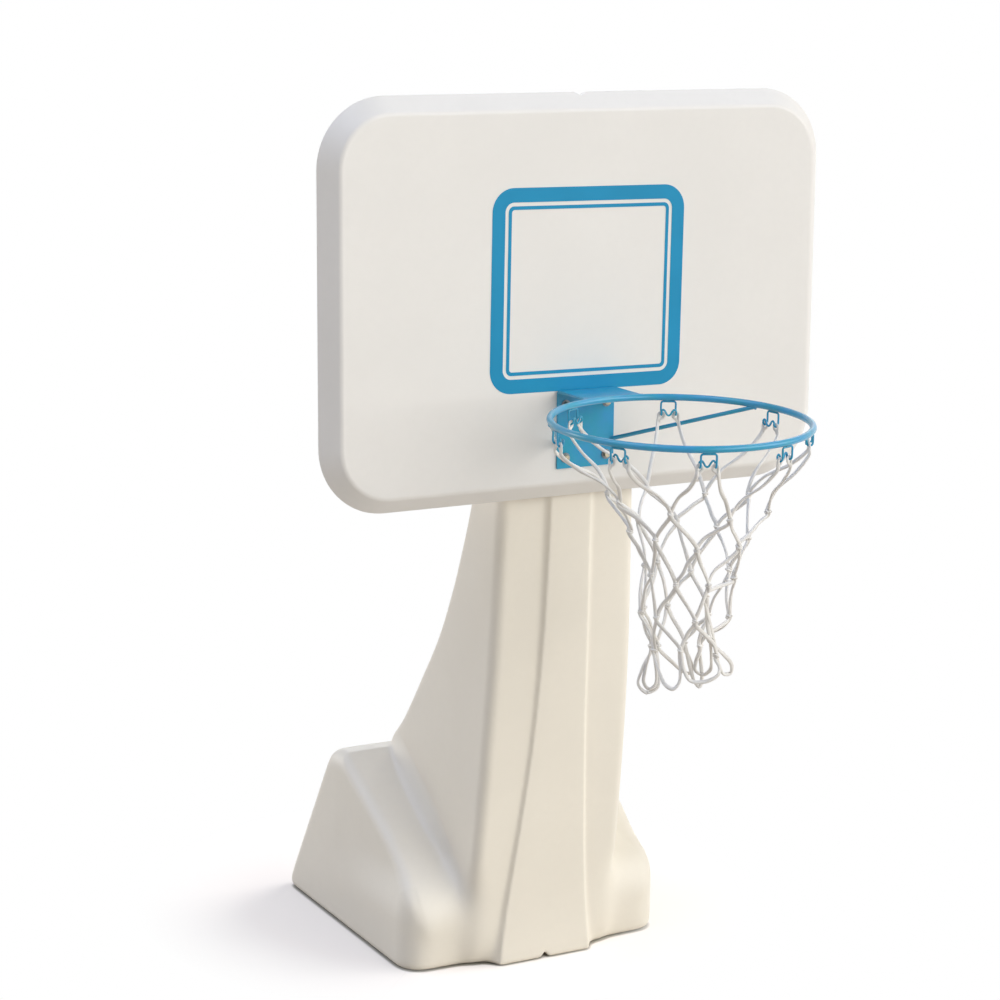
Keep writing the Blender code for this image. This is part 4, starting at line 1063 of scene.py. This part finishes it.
def make_hooks():
    shape = spline(hook_path(), HOOK_STEP, closed=True)
    for i, angle in enumerate(HOOK_ANGLES_DEG, 1):
        place = hook_frame(angle)
        hook = sweep(f"hook_wire_{i}", [place @ p for p in shape], HOOK_WIRE_RADIUS, 12, closed=True)
        dress(hook, "blue_steel", f"net_hook_{i}")


def weld(name, path, radius, closed=False):
    """A bead of weld metal with its ripples."""
    def ripples(i, angles):
        return 1.0 + 0.10 * sin(i * 1.1) + 0.05 * np.sin(angles * 2 + i * 0.3)

    line = spline(path, WELD_STEP, closed)
    dress(sweep(name, line, radius, 10, closed=closed, relief=ripples), "blue_steel")


def weld_ring(name, middle, axis, reach, radius):
    """A bead round the end of a rod."""
    side = axis.orthogonal().normalized()
    other = axis.normalized().cross(side)
    turns = [tau * k / 12 for k in range(12)]
    path = [middle + (side * cos(turn) + other * sin(turn)) * reach for turn in turns]
    weld(name, path, radius, closed=True)


def make_welds():
    """Beads where the plate meets the ring, at both ends of the braces and beside the hooks' bars."""
    half_deg = degrees(asin(BRACKET_WIDTH / 2 / RIM_RADIUS)) - 1.0
    line = [rim_point(180 + half_deg * (k / 8 - 1), RIM_ROD_RADIUS * 0.95) for k in range(17)]
    for name, level in (("over", BRACKET_HIGH.z), ("under", BRACKET_HIGH.z - BRACKET_SHEET)):
        weld(f"plate_weld_{name}", [Vector((p.x, p.y, level)) for p in line], PLATE_WELD_RADIUS)
    for name, side in (("left", -1), ("right", 1)):
        start, end = brace_ends(side)
        weld_ring(f"brace_weld_web_{name}", Vector((start.x, WEB_FRONT_Y, start.z)), Vector((0, 1, 0)),
                  BRACE_RADIUS + 0.0006, BRACE_WEB_WELD_RADIUS)
        weld_ring(f"brace_weld_ring_{name}", end.lerp(start, 0.008), end - start, BRACE_RADIUS,
                  BRACE_RING_WELD_RADIUS)
    half = HOOK_HALF_WIDTH / 2
    rest = -(RIM_ROD_RADIUS + HOOK_WIRE_RADIUS * 0.3)
    for i, angle in enumerate(HOOK_ANGLES_DEG, 1):
        place = hook_frame(angle)
        for name, side in (("in", 1), ("out", -1)):
            path = [place @ Vector((x, side * HOOK_WIRE_RADIUS, rest)) for x in (-half, 0.0, half)]
            weld(f"hook_weld_{i}_{name}", path, HOOK_WELD_RADIUS)


# Net

def net_angles(row):
    """Angles of the knots of a row: hooks' angles on even rows, halfway between on odd ones."""
    even = [360.0 / HOOK_COUNT * (k + 0.5) for k in range(HOOK_COUNT)]
    share = min(1.0, row / len(NET_RADII))
    angles = [(hook % 360.0) * (1 - share) + e * share for hook, e in zip(HOOK_ANGLES_DEG, even)]
    if row % 2 == 1:
        angles = [(a + b) / 2 for a, b in zip(angles, angles[1:] + [angles[0] + 360.0])]
    return angles


def net_place(pixel, radius, near_side):
    """The point of the net's leaning cylinder of some radius that the photograph shows at a pixel,
    on the side near the camera or on the far one. Past the cylinder's edge it's the closest point."""
    aim = pixel_aim(pixel)
    lean = NET_DRIFT / NET_LOOP_DROP
    across = CAMERA_PLACE - RIM_CENTRE + lean * (CAMERA_PLACE.z - RIM_HEIGHT)
    pace = aim + lean * aim.z
    across.z = 0.0
    pace.z = 0.0
    middle = -across.dot(pace) / pace.length_squared
    half = sqrt(max(0.0, radius ** 2 - (across + pace * middle).length_squared)) / pace.length
    return CAMERA_PLACE + aim * (middle - half if near_side else middle + half)


def net_ring(row, pixels, radius):
    """The places of a row of knots, or of the loops' low ends."""
    to_camera = CAMERA_PLACE - RIM_CENTRE
    bearing = atan2(to_camera.x, -to_camera.y)
    return [net_place(pixel, radius, cos(radians(angle) - bearing) > 0.0)
            for pixel, angle in zip(pixels, net_angles(row))]


def net_outward(point):
    """Level direction from the net's middle line to a point."""
    middle = RIM_CENTRE + NET_DRIFT * ((RIM_HEIGHT - point.z) / NET_LOOP_DROP)
    return Vector((point.x - middle.x, point.y - middle.y, 0.0)).normalized()


def net_sideways(point):
    """Level direction round the net at a point, to the right as seen from the front."""
    return Vector((0.0, 0.0, 1.0)).cross(net_outward(point))


def hook_eye(index, side):
    """The end of a cord: an eye round one curl of a hook, its tail tucked into the cord below."""
    place = hook_frame(HOOK_ANGLES_DEG[index])
    low = -(RIM_ROD_RADIUS + SEAT_GAP + HOOK_WIRE_RADIUS) - HOOK_HEIGHT
    return [place @ Vector((side * (HOOK_HALF_WIDTH + aside), HOOK_CURL_REACH / 2, low + up))
            for aside, up in EYE_PATH]


def strand(start, end, first_lead, last_lead, bow):
    """Two points of a cord between two places. Each is as far ahead sideways as its lead says."""
    across = Vector((end.x - start.x, end.y - start.y, 0.0))
    outward = net_outward((start + end) / 2)
    return [start.lerp(end, share) + across * lead + outward * bow
            for share, lead in ((0.33, first_lead), (0.67, last_lead))]


def through_knot(place, hand):
    """A cord's points on its way down through a knot, where the cords of the two hands cross."""
    rise = Vector((0.0, 0.0, KNOT_PASS))
    aside = net_sideways(place) * hand * KNOT_SPREAD
    out = net_outward(place) * hand * KNOT_CROSSING
    return [place + rise - aside + out * 0.6, place + out, place - rise + aside + out * 0.6]


def net_side(start, places, hand, number):
    """A cord's points from a hook down to its knot in the last row."""
    path = list(start)
    for row, place in enumerate(places):
        wave = number * 2.3 + row * 1.9
        leads = (0.04 + 0.06 * sin(wave), 0.06 + 0.06 * cos(wave * 1.3), STRAND_BOW * sin(wave * 1.7))
        knot = through_knot(place, hand)
        path += strand(path[-1], knot[0], *(leads if row else FIRST_STRAND)) + knot
    return path


def loop_sideways(low, first, second):
    """Direction across a bottom loop at its low end, which opens square to the photograph's view."""
    aside = (low - (first + second) / 2).cross(low - CAMERA_PLACE).normalized()
    return aside if aside.dot(second - first) > 0.0 else -aside


def net_cord(index, rows, loops):
    """One cord: from a hook down through the knots on one hand, round a bottom loop and up the
    other hand to a second hook."""
    last = len(rows)
    turn = (index + last // 2 + 1) % HOOK_COUNT
    down = [rows[row][(index + (row + 1) // 2) % HOOK_COUNT] for row in range(last)]
    up = [rows[row][(turn + (last - 1 - row) // 2 + row % 2) % HOOK_COUNT] for row in range(last)]
    finish_hook = (turn + (last - 1) // 2 + 1) % HOOK_COUNT
    first = net_side(hook_eye(index, 1), down, 1, index)
    second = net_side(hook_eye(finish_hook, -1), up, -1, index + HOOK_COUNT)
    low = loops[turn]
    aside = loop_sideways(low, first[-1], second[-1]) * NET_LOOP_HALF_WIDTHS[turn]
    left = [first[-1].lerp(low, 0.5) - aside * 0.8, first[-1].lerp(low, 0.85) - aside]
    right = [second[-1].lerp(low, 0.85) + aside, second[-1].lerp(low, 0.5) + aside * 0.8]
    return [*first, *left, low, *right, *reversed(second)]


def braid(i, count, angles):
    """Relief of a flat braided cord that turns a little as it goes: two crossing sets of strands.
    The cord is thinner in the eyes at its ends."""
    from_end = min(i, count - 1 - i) * CORD_STEP
    thin = EYE_SHARE + (1.0 - EYE_SHARE) * clamp((from_end - EYE_LENGTH) / EYE_TAPER)
    turn = tau * i * CORD_STEP / BRAID_PITCH
    weave = 1.0 + BRAID_RELIEF * (np.abs(np.sin(3 * angles + turn) * np.sin(3 * angles - turn)) - 0.4)
    lie = angles + 0.9 * sin(i * CORD_STEP / 0.031) * sin(i * CORD_STEP / 0.083)
    flat = np.hypot(np.cos(lie) / (1 - CORD_FLATTENING), np.sin(lie) / (1 + CORD_FLATTENING))
    return thin * weave / flat


def knot_path(place, number):
    """Two turns of cord round the crossing, tilted differently for each number."""
    out = net_outward(place)
    aside = net_sideways(place)
    tilt = (Matrix.Rotation(0.35 * sin(number * 1.7), 3, out)
            @ Matrix.Rotation(0.3 * sin(number * 2.9), 3, aside))
    points = []
    for k in range(KNOT_STEPS):
        t = tau * k / KNOT_STEPS
        around = 2 * t + number
        size = 1.0 + 0.22 * cos(t)
        points.append(place + tilt @ (aside * KNOT_HALF_WIDTH * size * cos(around)
                                      + out * KNOT_HALF_DEPTH * size * sin(around)
                                      + Vector((0.0, 0.0, KNOT_RISE * sin(t)))))
    return points


def make_net():
    rows = [net_ring(row, pixels, radius)
            for row, (pixels, radius) in enumerate(zip(NET_KNOTS, NET_RADII), 1)]
    loops = net_ring(len(rows) + 1, NET_LOOPS, NET_LOOP_RADIUS)
    for k in range(HOOK_COUNT):
        path = spline(net_cord(k, rows, loops), CORD_STEP)
        cord = sweep(f"net_cord_{k + 1}", path, CORD_RADIUS, CORD_SIDES, guide=net_outward,
                     relief=lambda i, angles, count=len(path): braid(i, count, angles))
        dress(cord, "white_cord", "net")
    knots = [(row, place) for row, places in enumerate(rows, 1) for place in places]
    for number, (row, place) in enumerate(knots, 1):
        path = knot_path(place, number)
        knot = sweep(f"net_knot_{row}_{number}", path, KNOT_CORD_RADIUS, 10, closed=True)
        dress(knot, "white_cord", "net")


# Fasteners, fill cap and drain plug

def flat_ring(bore, outer, low, high, edge):
    """Profile of a flat ring whose edges are broken."""
    return [(outer - edge, low), (outer, low + edge), (outer, high - edge), (outer - edge, high),
            (bore + edge, high), (bore, high - edge), (bore, low + edge), (bore + edge, low)]


def make_fasteners():
    across = BOLT_HEAD_FLATS / 2
    corner = across / cos(pi / 6)
    crown_path = [(0.0, BOLT_HEAD), (across * 0.96, BOLT_HEAD), (corner, BOLT_HEAD - 0.0012),
                  (corner, 0.0006), (across * 1.02, 0.0), (0.0, 0.0)]
    for i, (x, z) in enumerate(BOLT_PLACES, 1):
        low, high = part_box(f"bolt_washer_{i}")
        profile = flat_ring(BOLT_BORE_RADIUS, (high.x - low.x) / 2, 0.0, high.y - low.y, WASHER_EDGE)
        washer = lathe(f"washer_{i}", profile, 48, Matrix.Translation((x, high.y, z)) @ FACING_FRONT)
        smooth(washer)
        dress(washer, "zinc_steel", f"bolt_washer_{i}")
        low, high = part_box(f"mounting_bolt_{i}")
        back = low.y + BOLT_HEAD
        bolt = cylinder(f"bolt_{i}", corner, (x, back, z), (x, low.y, z), 6)
        crown = lathe(f"bolt_crown_{i}", crown_path, 64, Matrix.Translation((x, back, z)) @ FACING_FRONT)
        shank = cylinder(f"bolt_shank_{i}", BOLT_RADIUS, (x, back - BOLT_HEAD / 2, z), (x, high.y, z))
        carve(bolt, (), (shank,), (crown,))
        smooth(bolt, 20.0)
        dress(bolt, "brass", f"mounting_bolt_{i}")
        paint(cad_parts[f"threaded_insert_{i}"], "brass")


def make_seal(name, bore, outer, steps, place, cad_node, body):
    seal = lathe(name, flat_ring(bore, outer, SEAT_GAP, SEAL_TOP, SEAL_EDGE), steps, place)
    smooth(seal)
    dress(seal, "seal_rubber", cad_node, body=body)


def make_cap():
    place = Matrix.Translation((0, NECK_Y, NECK_LIP_Z))
    make_seal("neck_seal", NECK_INSIDE, NECK_RADIUS, 72, place, "fill_gasket", "fill_seal")
    ceiling = SEAL_TOP + SEAT_GAP
    bore = NECK_RADIUS + CAP_CLEARANCE
    outside = bore + CAP_WALL
    skirt = CAP_SKIRT_LIFT - NECK_HEIGHT
    crown = ceiling + CAP_WALL
    profile = [(0.0, crown - CAP_DISH), (outside * 0.62, crown - CAP_DISH), (outside * 0.66, crown)]
    profile += reversed(arc(outside - CAP_ROUND, crown - CAP_ROUND, CAP_ROUND, 0, 90, 8))
    profile += [(outside, skirt + 0.0008), (outside - 0.0008, skirt), (bore, skirt), (bore, ceiling),
                (0.0, ceiling)]

    def grips(angle, radius, height):
        if radius < outside - 0.0025 or height > crown - 0.004:
            return radius
        wave = abs(sin(angle * CAP_GRIP_COUNT / 2))
        return radius - CAP_GRIP_DEPTH * (1.0 - wave) ** 3

    cap = lathe("neck_cap", profile, 288, place, grips)
    smooth(cap, 50.0)
    dress(cap, "grey_cap", "fill_cap", body="fill_screw")


def make_plug():
    place = Matrix.Translation(DRAIN_PLACE) @ REAR_NORMAL.to_track_quat("Z", "Y").to_matrix().to_4x4()
    make_seal("plug_seal", DRAIN_BORE_RADIUS, DRAIN_SEAL_RADIUS, 56, place, "drain_gasket", "drain_seal")
    shank = DRAIN_BORE_RADIUS - 0.0005
    under = SEAL_TOP + SEAT_GAP
    over = under + DRAIN_FLANGE
    flange = DRAIN_FLANGE_RADIUS
    profile = [(0.0, over), (flange - 0.001, over), (flange, over - 0.001), (flange, under + 0.0005),
               (flange - 0.0005, under), (shank, under)]
    for k in range(25):
        ridge = DRAIN_THREAD_DEPTH * (max(0.0, sin(tau * 4 * k / 24)) - 1.0)
        profile.append((shank + ridge, under - 0.001 - (DRAIN_SHANK - 0.001) * k / 24))
    profile += [(shank - 0.001, -DRAIN_SHANK), (0.0, -DRAIN_SHANK)]
    plug = lathe("plug_body", profile, 72, place)
    length, width, height = DRAIN_GRIP
    x, y = length / 2, width / 2
    grip = loft("plug_grip", [[(-x, -y, z), (x, -y, z), (x, y, z), (-x, y, z)]
                              for z in (over - DRAIN_FLANGE / 2, over + height)])
    grip.matrix_world = place
    bevel(grip, 0.002, 4)
    carve(plug, (), (grip,))
    smooth(plug, 40.0)
    dress(plug, "grey_cap", "drain_plug", body="drain_screw")


# Camera, stage and light

def camera_turn():
    return (Matrix.Rotation(radians(CAMERA_YAW_DEG), 4, "Z")
            @ Matrix.Rotation(radians(90 + CAMERA_PITCH_DEG), 4, "X")
            @ Matrix.Rotation(radians(CAMERA_ROLL_DEG), 4, "Z"))


def pixel_aim(pixel):
    """The direction of the photograph's ray through a pixel."""
    reach = CAMERA_LENS_MM / CAMERA_SENSOR_MM * IMAGE_SIZE
    aim = Vector((pixel[0] - IMAGE_SIZE / 2, IMAGE_SIZE / 2 - pixel[1], -reach))
    return (camera_turn() @ aim).normalized()


def make_camera():
    data = bpy.data.cameras.new("camera")
    data.lens = CAMERA_LENS_MM
    data.sensor_width = CAMERA_SENSOR_MM
    SCENE.camera = add_object("camera", data)
    SCENE.camera.matrix_world = Matrix.Translation(CAMERA_PLACE) @ camera_turn()
    SCENE.view_settings.view_transform = "Standard"


def sun(name, towards, strength, angle_deg, colour):
    """A soft distant light that shines from the direction towards."""
    data = bpy.data.lights.new(name, "SUN")
    data.energy = strength
    data.angle = radians(angle_deg)
    data.color = colour
    item = add_object(name, data)
    item.rotation_euler = Vector(towards).to_track_quat("Z", "Y").to_euler()
    return item


def seen_as(owner, output, otherwise, directly):
    """Camera, glossy and transmission rays see what directly(look) returns, and all other rays see
    what otherwise(look) returns."""
    look = Look(owner)
    look.tree.nodes.clear()
    rays = look.add("LightPath").node.outputs
    share = look.greater(look.greater(rays["Is Camera Ray"], rays["Is Glossy Ray"]),
                         rays["Is Transmission Ray"])
    look.add(output, {"Surface": look.mix_shaders(share, otherwise(look), directly(look))})


def floor_lit(look):
    return look.add("BsdfDiffuse", {"Color": (0.46, 0.42, 0.37)})


def floor_seen(look):
    """White far away. Near the object: a pale floor with real shadow, and painted shade in the crevice.
    """
    # Painted shade: where ambient occlusion finds the crevice under the object's edges, the floor's
    # colour darkens to a dark brown and its glow fades out
    painted_contact_shade = look.add("AmbientOcclusion", {"Distance": FLOOR_CONTACT_SHADE_REACH}, "AO")
    glow = look.add("Emission", {"Strength": look.spread(painted_contact_shade, 0.45, 0.85, 0.0, 0.30)})
    tint = look.mix(look.spread(painted_contact_shade, 0.40, 0.75), (0.42, 0.40, 0.35), (0.70, 0.64, 0.59))
    close = look.add("AddShader", {0: look.add("BsdfDiffuse", {"Color": tint}), 1: glow})
    offset = look.add("VectorMath", {0: look.place, 1: POOL_MIDDLE}, operation="SUBTRACT")
    distance = look.add("VectorMath", {0: offset}, "Value", operation="LENGTH")
    return look.mix_shaders(look.spread(distance, POOL_INNER, POOL_OUTER), close, look.add("Emission"))


def make_stage():
    mesh = bpy.data.meshes.new("floor")
    half = FLOOR_HALF_SIZE
    corners = [(-half, -half, 0), (half, -half, 0), (half, half, 0), (-half, half, 0)]
    mesh.from_pydata(corners, [], [(0, 1, 2, 3)])
    material = bpy.data.materials.new("floor_white")
    seen_as(material, "OutputMaterial", floor_lit, floor_seen)
    mesh.materials.append(material)
    floor = add_object("floor", mesh)
    only_floor = bpy.data.collections.new("only_floor")
    only_floor.objects.link(floor)
    sun(*FLOOR_SUN).light_linking.receiver_collection = only_floor


def background(colour, strength):
    return lambda look: look.add("Background", {"Color": colour, "Strength": strength})


def make_world():
    SCENE.world = bpy.data.worlds.new("studio")
    seen_as(SCENE.world, "OutputWorld", background((0.95, 0.98, 1.06), 0.066),
            background((1.0, 1.0, 1.0), 1.0))


make_camera()
make_world()
for values in SUNS:
    sun(*values)
for make in (make_stage, make_base, make_neck, make_board, make_target, make_ring, make_bracket,
             make_braces, make_hooks, make_welds, make_net, make_fasteners, make_cap, make_plug):
    make()

bpy.context.view_layer.update()
